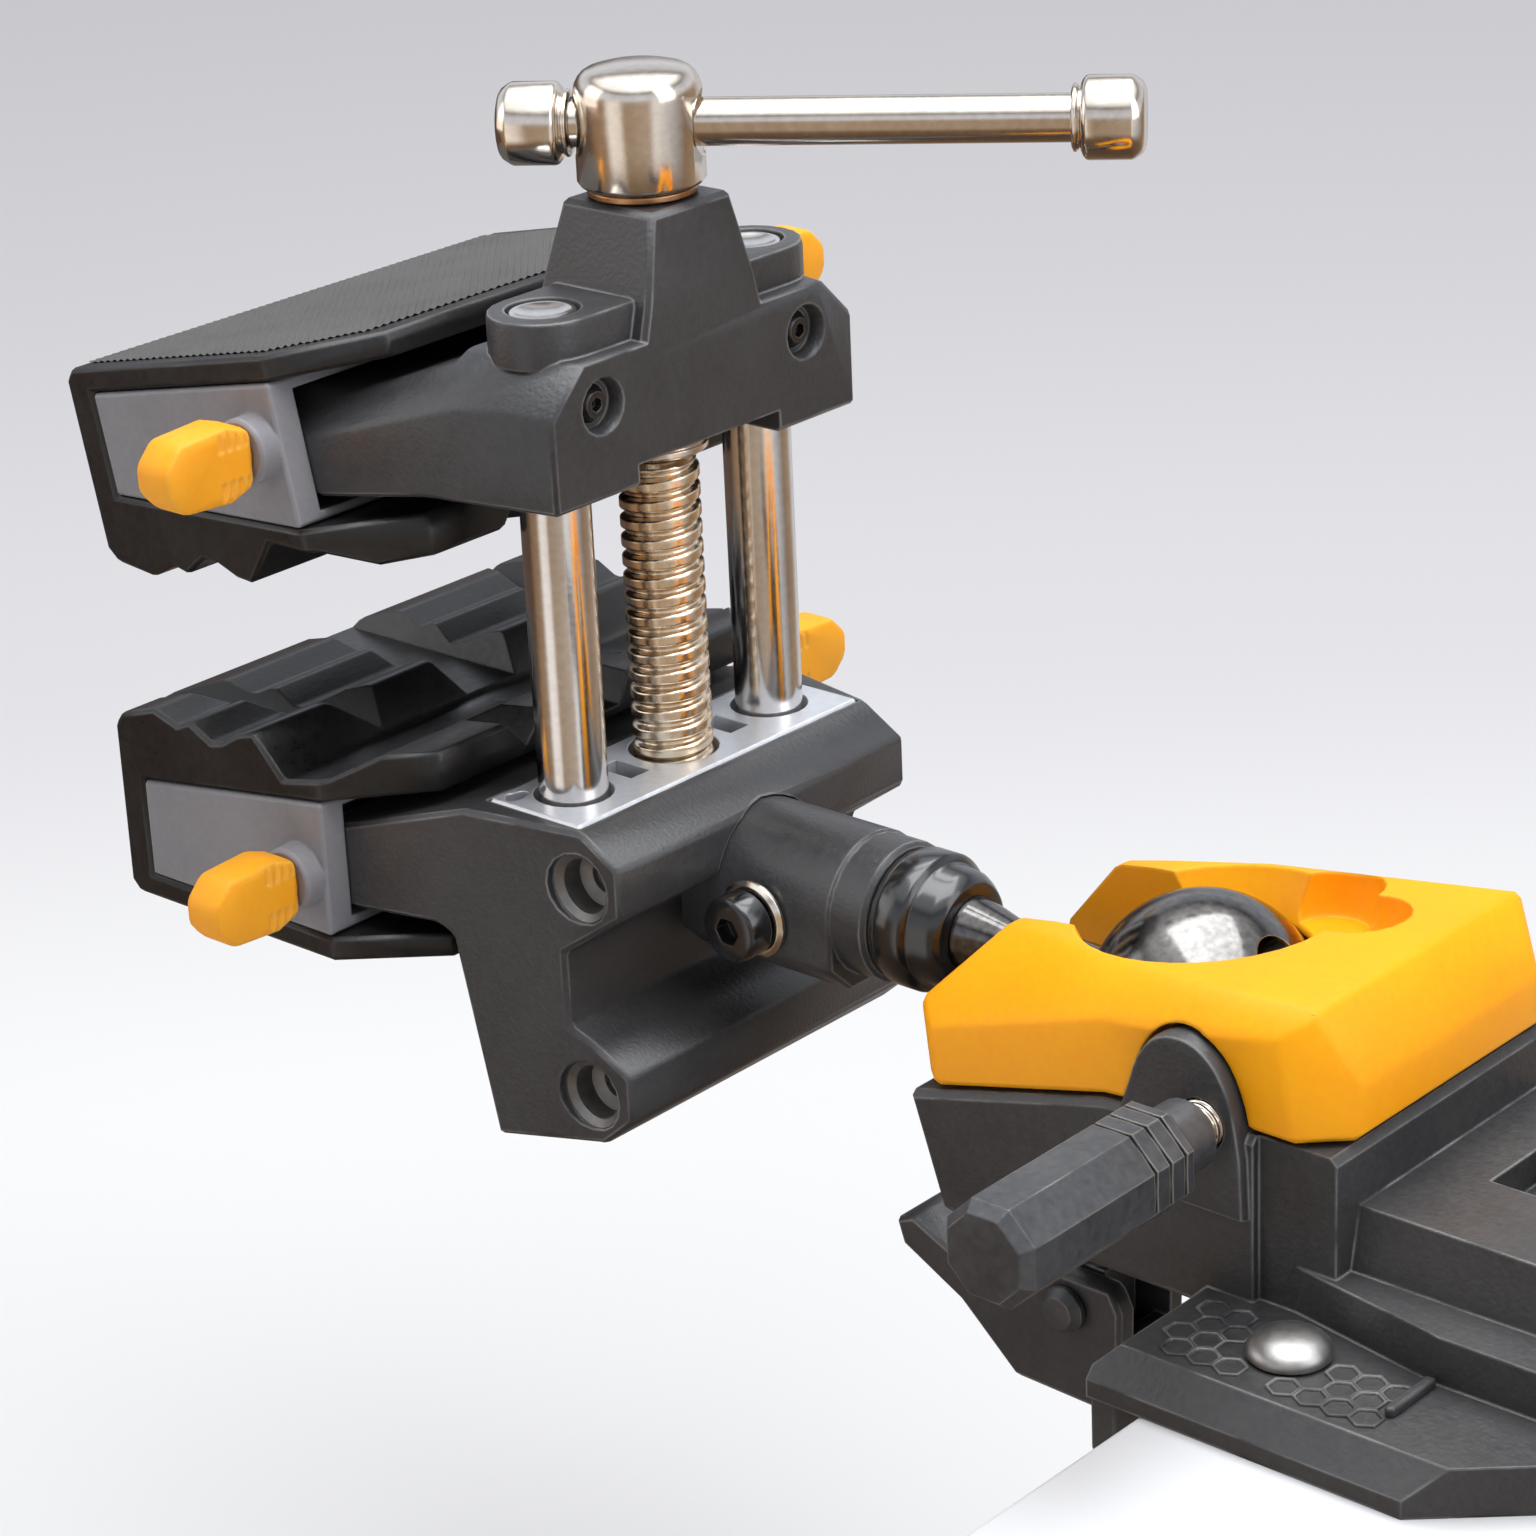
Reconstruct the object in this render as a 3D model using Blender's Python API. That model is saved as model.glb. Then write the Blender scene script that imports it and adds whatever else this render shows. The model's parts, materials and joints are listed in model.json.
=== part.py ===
"""Articulating bench vise: a clamp-on base with a locking ball, and a twin-rod vise head with tilting jaws.

All lengths below are millimetres and are scaled to metres as each mesh is made.
World frame: the origin is on the base's bench face, +X runs over the bench, +Z is up, Y=0 is the middle.
"""

import math

import bmesh
import bpy
from mathutils import Matrix, Vector

MM = 0.001
GAP = 0.3

# Head frame: x=0 is the rear edge of the guide plate and z=0 is its top.
HEAD_X = -147.0
HEAD_Z = 53.8
# Base frame: the centre of the ball.
BALL_X = -46.0
BALL_Z = 36.0

ROD_R = 6.0
ROD_X = -12.5
ROD_Y = 25.0
SCREW_R = 7.0
SHANK_R = 5.5
SCREW_BOTTOM = -56.0
NUT_R = 8.9
NUT_TOP = -3.6
NUT_BOTTOM = -20.0
BARREL_START = -1.0
BODY_HALF = 37.0
BEND_HALF = 41.5
TONGUE_HALF = 46.5
TONGUE_PIN_DEPTH = 9.5
ROUGH_HALF = TONGUE_HALF + 13.5
SHOULDER_BEVEL = 7.5
TONGUE_BEVEL = 6.5

BALL_R = 19.0
CUP_R = BALL_R + 2.6
CUP_DEPTH = BALL_R + 3.0
STEM_R = 4.4
STEM_AXIS = BALL_Z - HEAD_Z
BARREL_R = 12.75

LOW_PIVOT = (-53.0, -16.0)
UP_PIVOT = (-54.5, 61.0)
UP_PITCH = 12.0
WALL_IN = TONGUE_HALF + GAP
END_WALL = 5.2
JAW_HALF = WALL_IN + END_WALL
KNOB_PIN_R = 3.0
BOSS_R = 5.8
BOSS_OUT = 4.0
BOSS_ROOT = 2.0

BOSS_TOP = 85.0
TOWER_RISE = 13.5
TOWER_TOP = BOSS_TOP + TOWER_RISE
WASHER = 1.2
HUB_R = 10.75
HUB_BOTTOM = TOWER_TOP + GAP + WASHER + GAP
BAR_R = 4.0
BAR_Z = HUB_BOTTOM + 10.1
BAR_TURN = 34.0
BAR_CAP_R = 6.9
BAR_LEFT = -23.2
BAR_RIGHT = 83.0

# Jaw block frame: u runs to the rear from the tilt axis, v to the block's flat side.
PAD_OUT = 15.2
CARRIER_FLAT = 10.5
CARRIER_FRONT = -40.5
CARRIER_REAR = 6.0
CARRIER_RIDGE_FRONT = -7.5
CARRIER_RIDGE_REAR = -14.2
KNOB_START = JAW_HALF + BOSS_OUT + GAP
KNOB_BACK_OFF = 13.0
NOTCH_HALF = 7.0
NOTCH_ROOT = -17.8
NOTCH_Y = 29.0
NOTCH_TURN = math.radians(-20.0)
CHANNEL_HALF = 9.0
CHANNEL_ROOT = -17.6
RIDGE_TOP = -24.0

# Base, measured from the ball's centre.
BOLT_R = 4.0
BOLT_CLEARANCE = 1.5
BOLT_X = BALL_R + BOLT_CLEARANCE + BOLT_R
BOLT_Z = 0.6
BOLT_NEAR = -56.0
BOLT_FAR = 44.0
EAR_OUT = 34.6
LUG_X = -22.0
PIN_Z = -58.0
DECK_TOP = -10.0
PAD_TOP = -28.0
BENCH = -BALL_Z
FLANGE_HALF = 59.0
FLANGE_EDGE = 4.5
FLANGE_SIDE_TOP = -33.0
LEDGE_TOP = -20.2
LIP_FRONT = 21.0
LIP_REAR = 25.6
LIP_DEPTH = 10.0
DOME_BOLT_X = 46.0
DOME_BOLT_Y = 42.0

RINGS = 24
WELD_STEP = 0.01


def clear_scene():
    for obj in list(bpy.data.objects):
        bpy.data.objects.remove(obj, do_unlink=True)


def material(name, color, roughness, metallic):
    made = bpy.data.materials.new(name)
    made.use_nodes = True
    shader = made.node_tree.nodes["Principled BSDF"]
    shader.inputs["Base Color"].default_value = (*color, 1.0)
    shader.inputs["Roughness"].default_value = roughness
    shader.inputs["Metallic"].default_value = metallic
    return made


def head(x, z, y=0.0):
    return Vector((x + HEAD_X, y, z + HEAD_Z))


def base(x, z, y=0.0):
    return Vector((x + BALL_X, y, z + BALL_Z))


def as_object(bm, name, surface, origin=Vector((0, 0, 0))):
    """The mesh, in millimetres and world position, as an object whose origin is at the given point."""
    bmesh.ops.remove_doubles(bm, verts=bm.verts, dist=1e-4)
    bmesh.ops.recalc_face_normals(bm, faces=bm.faces)
    bmesh.ops.translate(bm, verts=bm.verts, vec=-origin)
    bmesh.ops.scale(bm, verts=bm.verts, vec=(MM, MM, MM))
    mesh = bpy.data.meshes.new(name)
    bm.to_mesh(mesh)
    bm.free()
    obj = bpy.data.objects.new(name, mesh)
    obj.location = origin * MM
    bpy.context.scene.collection.objects.link(obj)
    if surface:
        mesh.materials.append(surface)
    mesh.shade_smooth()
    mesh.set_sharp_from_angle(angle=math.radians(35))
    return obj


def prism(outline, axis, low, high, shift=Vector((0, 0, 0))):
    """A closed outline in the plane across one axis, extruded along that axis."""
    bm = bmesh.new()
    place = {
        "X": lambda a, b: (low, a, b),
        "Y": lambda a, b: (a, low, b),
        "Z": lambda a, b: (a, b, low),
    }[axis]
    face = bm.faces.new([bm.verts.new(Vector(place(a, b)) + shift) for a, b in outline])
    run = bmesh.ops.extrude_face_region(bm, geom=[face])
    moved = [item for item in run["geom"] if isinstance(item, bmesh.types.BMVert)]
    step = {"X": (1, 0, 0), "Y": (0, 1, 0), "Z": (0, 0, 1)}[axis]
    bmesh.ops.translate(bm, verts=moved, vec=Vector(step) * (high - low))
    bmesh.ops.recalc_face_normals(bm, faces=bm.faces)
    return bm


def lathe(profile, rings=RINGS, closed=False):
    """A profile of (radius, height) spun about Z. A closed profile makes a ring."""
    bm = bmesh.new()
    line = [bm.verts.new((radius, 0, height)) for radius, height in profile]
    edges = [bm.edges.new(pair) for pair in zip(line, line[1:])]
    if closed:
        edges.append(bm.edges.new((line[-1], line[0])))
    bmesh.ops.spin(
        bm,
        geom=line + edges,
        cent=(0, 0, 0),
        axis=(0, 0, 1),
        angle=math.tau,
        steps=rings,
    )
    bmesh.ops.remove_doubles(bm, verts=bm.verts, dist=1e-4)
    bmesh.ops.recalc_face_normals(bm, faces=bm.faces)
    return bm


def aim(bm, direction, at):
    """Turns +Z of the mesh to a direction and moves its origin to a point."""
    turn = Vector((0, 0, 1)).rotation_difference(Vector(direction)).to_matrix().to_4x4()
    bmesh.ops.transform(bm, matrix=Matrix.Translation(at) @ turn, verts=bm.verts)
    return bm


def rod(radius, start, direction, length, chamfer=0.0, rings=RINGS):
    """A plain cylinder from a point along a direction, with both ends chamfered if asked."""
    if chamfer:
        profile = [
            (0, 0),
            (radius - chamfer, 0),
            (radius, chamfer),
            (radius, length - chamfer),
            (radius - chamfer, length),
            (0, length),
        ]
    else:
        profile = [(0, 0), (radius, 0), (radius, length), (0, length)]
    return aim(lathe(profile, rings), direction, start)


def block(x, y, z):
    return prism([(x[0], y[0]), (x[1], y[0]), (x[1], y[1]), (x[0], y[1])], "Z", *z)


def slice_off(bm, point, normal):
    """Cuts away what lies on the normal's side of a plane and closes the cut."""
    everything = list(bm.verts) + list(bm.edges) + list(bm.faces)
    cut = bmesh.ops.bisect_plane(
        bm,
        geom=everything,
        dist=1e-5,
        plane_co=point,
        plane_no=Vector(normal).normalized(),
        clear_outer=True,
    )
    edges = [item for item in cut["geom_cut"] if isinstance(item, bmesh.types.BMEdge)]
    bmesh.ops.holes_fill(bm, edges=edges, sides=0)
    bmesh.ops.recalc_face_normals(bm, faces=bm.faces)


def slope_through(a, b, c, up):
    """The unit normal of the plane through three points, on the side of the given direction."""
    normal = (Vector(b) - Vector(a)).cross(Vector(c) - Vector(a)).normalized()
    return normal if normal.dot(Vector(up)) > 0 else -normal


def helper(bm, name):
    obj = as_object(bm, name, None)
    obj.hide_render = True
    obj.display_type = "WIRE"
    return obj


def boolean(obj, other, operation, name):
    step = obj.modifiers.new(name, "BOOLEAN")
    step.operation = operation
    step.solver = "EXACT"
    step.object = other
    return step


def cut(obj, bm, name):
    boolean(obj, helper(bm, f"{obj.name}_{name}"), "DIFFERENCE", name)


def join(obj, bm, name):
    boolean(obj, helper(bm, f"{obj.name}_{name}"), "UNION", name)


def keep_inside(obj, bm, name):
    boolean(obj, helper(bm, f"{obj.name}_{name}"), "INTERSECT", name)


def soften(obj, width, segments=1, angle=30):
    step = obj.modifiers.new("soften", "BEVEL")
    step.width = width * MM
    step.segments = segments
    step.limit_method = "ANGLE"
    step.angle_limit = math.radians(angle)
    step.use_clamp_overlap = True
    return step


def arc(centre, radius, start, end, count):
    """Points on a circle from one angle to another, in degrees."""
    made = []
    for index in range(count + 1):
        turn = math.radians(start + (end - start) * index / count)
        made.append((centre[0] + radius * math.cos(turn), centre[1] + radius * math.sin(turn)))
    return made


def mirrored(half):
    """A plan outline from its +Y half, listed front to rear or rear to front."""
    return half + [(x, -y) for x, y in reversed(half)]


HEAD_SHIFT = Vector((HEAD_X, 0, HEAD_Z))
BASE_SHIFT = Vector((BALL_X, 0, BALL_Z))

BASE = material("base_dark", (0.05, 0.051, 0.055), 0.6, 0.0)
CAST = material("cast_dark", (0.045, 0.046, 0.05), 0.55, 0.2)
GREY = material("moulded_grey", (0.16, 0.165, 0.18), 0.5, 0.0)
RUBBER = material("pad_rubber", (0.018, 0.018, 0.02), 0.6, 0.0)
ORANGE = material("knob_orange", (0.93, 0.27, 0.02), 0.45, 0.0)
YELLOW = material("cap_yellow", (0.95, 0.42, 0.01), 0.4, 0.0)
NICKEL = material("nickel", (0.66, 0.6, 0.53), 0.22, 1.0)
STEEL = material("rod_steel", (0.62, 0.6, 0.58), 0.2, 1.0)
BALL = material("ball_steel", (0.3, 0.29, 0.29), 0.15, 1.0)
ALLOY = material("plate_alloy", (0.7, 0.71, 0.72), 0.3, 1.0)
BLACK = material("black_oxide", (0.015, 0.015, 0.017), 0.25, 0.6)
BRONZE = material("bronze", (0.5, 0.3, 0.16), 0.35, 1.0)


def body_plan(rear, front):
    """The flared plan outline that the head's two bodies share."""
    return mirrored(
        [
            (rear, BODY_HALF),
            (0.0, BODY_HALF),
            (-23.0, BEND_HALF),
            (-46.0, TONGUE_HALF),
            (front, TONGUE_HALF),
        ]
    )


def tongue_pin_way(pivot, sign):
    """The hole in the tongue's end that a knob's pin turns in, a little deeper than the pin."""
    start = TONGUE_HALF - TONGUE_PIN_DEPTH - 2.0
    return rod(KNOB_PIN_R + GAP, head(*pivot, sign * start), (0, sign, 0), TONGUE_PIN_DEPTH + 5.5, rings=20)


def lower_body():
    nose = arc(LOW_PIVOT, 6.8, 98, 270, 7)
    side = [
        (-23.0, -0.3),
        (0.0, -0.3),
        (8.5, -5.4),
        (8.5, -14.3),
        (-4.4, -23.2),
        (-4.4, -37.0),
        (8.5, -43.5),
        (8.5, -52.0),
        (1.5, -58.0),
        (-20.5, -61.0),
        (-27.0, -24.5),
        (-30.0, -22.6),
        (-46.0, -22.8),
    ]
    side += list(reversed(nose)) + [(-46.0, -6.9)]
    bm = prism(side, "Y", -ROUGH_HALF, ROUGH_HALF, HEAD_SHIFT)
    obj = as_object(bm, "lower_body", CAST)
    keep_inside(obj, prism(body_plan(9.0, -62.0), "Z", -80, 20, HEAD_SHIFT), "plan")
    soften(obj, 0.8)
    plate = block((-22.5, -0.7), (-36.0, 36.0), (-3.3, 2.0))
    bmesh.ops.translate(plate, verts=plate.verts, vec=HEAD_SHIFT)
    cut(obj, plate, "plate_seat")
    seat = NUT_BOTTOM - GAP
    way = [(0, -66), (SCREW_R + GAP, -66), (SCREW_R + GAP, seat), (NUT_R + GAP, seat), (NUT_R + GAP, 4), (0, 4)]
    cut(obj, aim(lathe(way), (0, 0, 1), head(ROD_X, 0)), "screw_way")
    for side_name, sign in (("near", -1), ("far", 1)):
        cut(obj, rod(ROD_R + GAP, head(ROD_X, -64, sign * ROD_Y), (0, 0, 1), 66), f"rod_way_{side_name}")
        for row, x, z in (("upper", -0.6, -10.7), ("lower", -0.9, -49.2)):
            mouth = [(0, 0), (3.0, 0), (3.0, 5.5), (5.0, 6.5), (5.0, 11.0), (6.4, 12.2), (6.4, 16), (0, 16)]
            way = aim(lathe(mouth, 16), (0, sign, 0), head(x, z, sign * 24.5))
            cut(obj, way, f"{row}_hole_{side_name}")
        cut(obj, tongue_pin_way(LOW_PIVOT, sign), f"pin_{side_name}")
        slot = block((-17.0, -8.0), (sign * 12.7 - 3, sign * 12.7 + 3), (-6.3, 1.0))
        bmesh.ops.translate(slot, verts=slot.verts, vec=HEAD_SHIFT)
        cut(obj, slot, f"slot_{side_name}")
    cut(obj, prism(barrel_outline(GAP), "X", BARREL_START - GAP, 20.0, head(0, STEM_AXIS)), "barrel_seat")


def guide_plate():
    bm = block((-22.2, -1.0), (-35.7, 35.7), (-3.0, 0.0))
    bmesh.ops.translate(bm, verts=bm.verts, vec=HEAD_SHIFT)
    obj = as_object(bm, "guide_plate", ALLOY)
    soften(obj, 0.5)
    cut(obj, rod(8.0, head(ROD_X, -5), (0, 0, 1), 8), "screw_hole")
    for side_name, sign in (("near", -1), ("far", 1)):
        cut(obj, rod(7.0, head(ROD_X, -5, sign * ROD_Y), (0, 0, 1), 8), f"rod_hole_{side_name}")
        slot = block((-16.5, -8.5), (sign * 12.7 - 2.4, sign * 12.7 + 2.4), (-5.0, 3.0))
        bmesh.ops.translate(slot, verts=slot.verts, vec=HEAD_SHIFT)
        cut(obj, slot, f"slot_{side_name}")
        cut(obj, rod(1.1, head(-19.8, -5, sign * 32.7), (0, 0, 1), 8, rings=12), f"hole_{side_name}")


def lead_nut():
    height = NUT_TOP - NUT_BOTTOM
    ring = [(SCREW_R + GAP, 0), (NUT_R, 0), (NUT_R, height), (SCREW_R + GAP, height)]
    as_object(aim(lathe(ring, closed=True), (0, 0, 1), head(ROD_X, NUT_BOTTOM)), "lead_nut", BRONZE)


def barrel_outline(extra):
    """The barrel's section: round on top, with a chamfered foot below."""
    half = BARREL_R + extra
    bottom = -13.5 - extra
    foot = [(-half, 0.0), (-half, -8.5), (-7.5, bottom), (7.5, bottom), (half, -8.5), (half, 0.0)]
    return foot + arc((0, 0), half, 0, 180, 16)[1:-1]


def barrel():
    bm = prism(barrel_outline(0.0), "X", BARREL_START, 33.0, head(0, STEM_AXIS))
    obj = as_object(bm, "barrel", CAST)
    soften(obj, 0.6, angle=40)
    join(obj, rod(BARREL_R - 0.45, head(30.0, STEM_AXIS), (1, 0, 0), 10.0, 0.8), "round_end")
    cut(obj, rod(3.5, head(17.0, -20.0, -BARREL_R - 7.25), (0, 1, 0), 17.3, rings=20), "screw_hole")
    cut(obj, rod(STEM_R + GAP, head(6.0, STEM_AXIS), (1, 0, 0), 40, rings=24), "bore")


def barrel_screw():
    at = head(17.0, -20.0, -BARREL_R - GAP)
    ring = [(3.6, 0), (6.9, 0), (6.9, 0.9), (6.2, 1.6), (3.6, 1.6)]
    as_object(aim(lathe(ring, 24, closed=True), (0, -1, 0), at), "barrel_screw_ring", NICKEL)
    outline = [(0, 0), (2.7, 0), (3.1, 0.4), (3.1, 9.6), (5.4, 9.6), (5.8, 10.0), (5.8, 14.2), (5.1, 15.0), (0, 15.0)]
    start = head(17.0, -20.0, -BARREL_R + 7.35)
    obj = as_object(aim(lathe(outline, 20), (0, -1, 0), start), "barrel_screw", BLACK, start)
    cut(obj, rod(2.6, head(17.0, -20.0, -BARREL_R - 4.65), (0, -1, 0), 6, rings=6), "socket")


def ball_stud():
    x_to_stem = math.degrees(math.asin(5.6 / BALL_R))
    ball = [(BALL_R * math.sin(math.radians(t)), -BALL_R * math.cos(math.radians(t))) for t in ball_angles(x_to_stem)]
    stem = [(STEM_R, BALL_R + 2.5), (STEM_R, 38.5), (6.4, 46.5), (6.4, 47.2), (STEM_R, 47.2), (STEM_R, 93.7), (3.9, 94.2), (0, 94.2)]
    centre = base(0, 0)
    obj = as_object(aim(lathe(ball + stem, 32), (-1, 0, 0), centre), "ball_stud", BALL, centre)
    lean = math.radians(40)
    away = Vector((math.cos(lean), 0, math.sin(lean)))
    cut(obj, rod(4.0, centre + away * 13, away, 10, rings=20), "key_hole")


def ball_angles(stem_angle):
    """Angles down the ball from its rear pole to where the stem leaves it."""
    steps = 13
    last = 180 - stem_angle
    return [last * index / steps for index in range(steps + 1)]


def stem_collar():
    outline = [
        (STEM_R + GAP, 0),
        (11.4, 0),
        (12.0, 0.6),
        (12.0, 5.6),
        (10.4, 6.4),
        (10.0, 9.6),
        (8.4, 12.0),
        (STEM_R + GAP, 12.0),
    ]
    start = head(41.6, STEM_AXIS)
    as_object(aim(lathe(outline, closed=True), (1, 0, 0), start), "stem_collar", BLACK, start)
    washer = [(STEM_R + GAP, 0), (11.2, 0), (11.2, 1.0), (STEM_R + GAP, 1.0)]
    start = head(40.3, STEM_AXIS)
    as_object(aim(lathe(washer, closed=True), (1, 0, 0), start), "stem_washer", RUBBER)


def guide_rod(side_name, sign):
    length = BOSS_TOP - GAP - SCREW_BOTTOM
    outline = [(0, 0), (5.2, 0), (ROD_R, 0.8), (ROD_R, length - 0.9), (5.1, length), (4.4, length), (0, length - 0.8)]
    start = head(ROD_X, SCREW_BOTTOM, sign * ROD_Y)
    as_object(aim(lathe(outline, 24), (0, 0, 1), start), f"guide_rod_{side_name}", STEEL)


def upper_body():
    nose = arc(UP_PIVOT, 7.5, 262, 80, 7)
    side = [(-26.0, 54.7), (0.0, 54.7), (0.0, 78.5), (-23.2, 78.5), (-24.6, 76.0), (-46.0, 68.5)]
    side += list(reversed(nose)) + [(-46.0, 52.3)]
    bm = prism(side, "Y", -ROUGH_HALF, ROUGH_HALF, HEAD_SHIFT)
    for sign in (-1, 1):
        a, b = head(0, 71, sign * BODY_HALF), head(-23, 71, sign * BEND_HALF)
        c = head(0, 78.5, sign * (BODY_HALF - SHOULDER_BEVEL))
        slice_off(bm, a, slope_through(a, b, c, (0, sign, 1)))
        a, b = head(-23, 69.5, sign * (BEND_HALF + 0.3)), head(-46, 62.5, sign * (TONGUE_HALF + 0.3))
        c = head(-46, 68.8, sign * (TONGUE_HALF - TONGUE_BEVEL))
        slice_off(bm, a, slope_through(a, b, c, (0, sign, 1)))
    obj = as_object(bm, "upper_body", CAST)
    keep_inside(obj, prism(body_plan(0.0, -64.0), "Z", 40, 90, HEAD_SHIFT), "plan")
    soften(obj, 0.9)
    stadium = arc((ROD_X, ROD_Y), 9.4, 0, 180, 10) + arc((ROD_X, -ROD_Y), 9.4, 180, 360, 10)
    bosses = prism(stadium, "Z", BOSS_TOP - 8.0, BOSS_TOP, HEAD_SHIFT)
    bevel_top(bosses, BOSS_TOP + HEAD_Z, 1.2)
    join(obj, bosses, "bosses")
    join(obj, tower(), "tower")
    slot = block((-24.0, 5), (-17.5, 17.5), (50, 58.5))
    bmesh.ops.translate(slot, verts=slot.verts, vec=HEAD_SHIFT)
    cut(obj, slot, "underside")
    cut(obj, rod(SHANK_R + GAP, head(ROD_X, 50), (0, 0, 1), TOWER_TOP - 38.5), "screw_way")
    for side_name, sign in (("near", -1), ("far", 1)):
        way = rod(ROD_R + GAP, head(ROD_X, 50, sign * ROD_Y), (0, 0, 1), BOSS_TOP - 45.0)
        cut(obj, way, f"rod_way_{side_name}")
        mouth = [(0, 0), (3.3, 0), (3.3, 7.0), (4.2, 7.0), (4.6, 9.6), (5.4, 10.6), (5.4, 14), (0, 14)]
        way = aim(lathe(mouth, 16), (1, 0, 0), head(-10.0, 70.5, sign * ROD_Y))
        cut(obj, way, f"set_hole_{side_name}")
        cut(obj, tongue_pin_way(UP_PIVOT, sign), f"pin_{side_name}")


def bevel_top(bm, height, width):
    """Bevels the edges of the mesh that lie flat at one height."""
    edges = [edge for edge in bm.edges if all(abs(v.co.z - height) < 1e-4 for v in edge.verts)]
    bmesh.ops.bevel(bm, geom=edges, offset=width, segments=2, profile=0.6, affect="EDGES", clamp_overlap=True)


def tower():
    outline = [(15.0, 77.0), (9.6, TOWER_TOP), (-9.6, TOWER_TOP), (-15.0, 77.0)]
    bm = prism(outline, "X", -27.5, 0.0, HEAD_SHIFT)
    slice_off(bm, head(-26.0, 78.0), slope_through(head(-26, 78), head(-26, 78, 9), head(-22, TOWER_TOP), (-1, 0, 1)))
    foot = BOSS_TOP - 1.0
    slice_off(bm, head(0, foot), slope_through(head(0, foot), head(0, foot, 9), head(-1.6, TOWER_TOP), (1, 0, 0)))
    bmesh.ops.bevel(
        bm,
        geom=[edge for edge in bm.edges if max(v.co.z for v in edge.verts) > BOSS_TOP - 3.0 + HEAD_Z],
        offset=0.9,
        segments=1,
        affect="EDGES",
        clamp_overlap=True,
    )
    return bm


def rod_screw(side_name, sign):
    start = head(-6.1, 70.5, sign * ROD_Y)
    outline = [(0, 0), (2.6, 0), (3.0, 0.4), (3.0, 3.6), (2.2, 4.6), (0, 4.6)]
    obj = as_object(aim(lathe(outline, 20), (1, 0, 0), start), f"rod_screw_{side_name}", BLACK)
    cut(obj, rod(1.3, start + Vector((3.0, 0, 0)), (1, 0, 0), 3, rings=6), "socket")


def lead_screw():
    outline = [
        (0, SCREW_BOTTOM),
        (6.0, SCREW_BOTTOM),
        (SCREW_R, SCREW_BOTTOM + 1.0),
        (SCREW_R, 53.6),
        (SHANK_R, 54.2),
        (SHANK_R, HUB_BOTTOM + 4.4),
        (0, HUB_BOTTOM + 4.4),
    ]
    pivot = head(ROD_X, 0)
    as_object(aim(lathe(outline), (0, 0, 1), pivot), "lead_screw", NICKEL, pivot)
    ring = [(SHANK_R + GAP, 54.5), (8.4, 54.5), (8.8, 54.9), (8.8, 57.8), (8.4, 58.2), (SHANK_R + GAP, 58.2)]
    as_object(aim(lathe(ring, 24, closed=True), (0, 0, 1), pivot), "screw_collar", NICKEL, pivot)
    low, high = TOWER_TOP + GAP, TOWER_TOP + GAP + WASHER
    washer = [(SHANK_R + GAP, low), (9.2, low), (9.2, high), (SHANK_R + GAP, high)]
    as_object(aim(lathe(washer, 20, closed=True), (0, 0, 1), pivot), "thrust_washer", BRONZE, pivot)


def bar_direction():
    turn = math.radians(BAR_TURN)
    return Vector((math.cos(turn), math.sin(turn), 0))


def hub():
    outline = [
        (0, HUB_BOTTOM),
        (HUB_R - 0.85, HUB_BOTTOM),
        (HUB_R, HUB_BOTTOM + 0.8),
        (HUB_R, HUB_BOTTOM + 15.1),
        (HUB_R - 0.65, HUB_BOTTOM + 17.3),
        (HUB_R - 2.35, HUB_BOTTOM + 19.0),
        (HUB_R - 5.55, HUB_BOTTOM + 20.0),
        (0, HUB_BOTTOM + 20.3),
    ]
    pivot = head(ROD_X, 0)
    obj = as_object(aim(lathe(outline, 28), (0, 0, 1), pivot), "hub", NICKEL, pivot)
    cut(obj, rod(SHANK_R + GAP, head(ROD_X, HUB_BOTTOM - 5.3), (0, 0, 1), 10), "shank_hole")
    middle = head(ROD_X, BAR_Z)
    across = bar_direction()
    reach = HUB_R + 1.0
    neck = HUB_R - 1.85
    mouth = [(0, -reach), (6.2, -reach), (BAR_R + GAP, -neck), (BAR_R + GAP, neck), (6.2, reach), (0, reach)]
    cut(obj, aim(lathe(mouth, 20), across, middle), "bar_hole")


def t_bar():
    middle = head(ROD_X, BAR_Z)
    across = bar_direction()
    start = middle + across * (BAR_LEFT + 3.2)
    length = BAR_RIGHT - BAR_LEFT - 6.4
    as_object(rod(BAR_R, start, across, length, 0.5, 24), "t_bar", NICKEL, middle)
    cap = [
        (0, 9.1),
        (BAR_R + GAP, 9.1),
        (BAR_R + GAP, 0),
        (5.2, 0),
        (5.6, 0.5),
        (5.2, 1.2),
        (6.3, 1.6),
        (BAR_CAP_R, 3.0),
        (BAR_CAP_R, 9.6),
        (5.6, 11.6),
        (0, 12.0),
    ]
    as_object(aim(lathe(cap, 20), -across, middle + across * (BAR_LEFT + 12)), "bar_cap_left", NICKEL, middle)
    as_object(aim(lathe(cap, 20), across, middle + across * (BAR_RIGHT - 12)), "bar_cap_right", NICKEL, middle)


def jaw_turn(upper):
    """Block frame (u to the rear, v to the flat side) to world, for one jaw."""
    if upper:
        return Matrix.Translation(head(*UP_PIVOT)) @ Matrix.Rotation(math.radians(-UP_PITCH), 4, "Y")
    return Matrix.Translation(head(*LOW_PIVOT)) @ Matrix.Rotation(math.pi, 4, "X")


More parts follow.
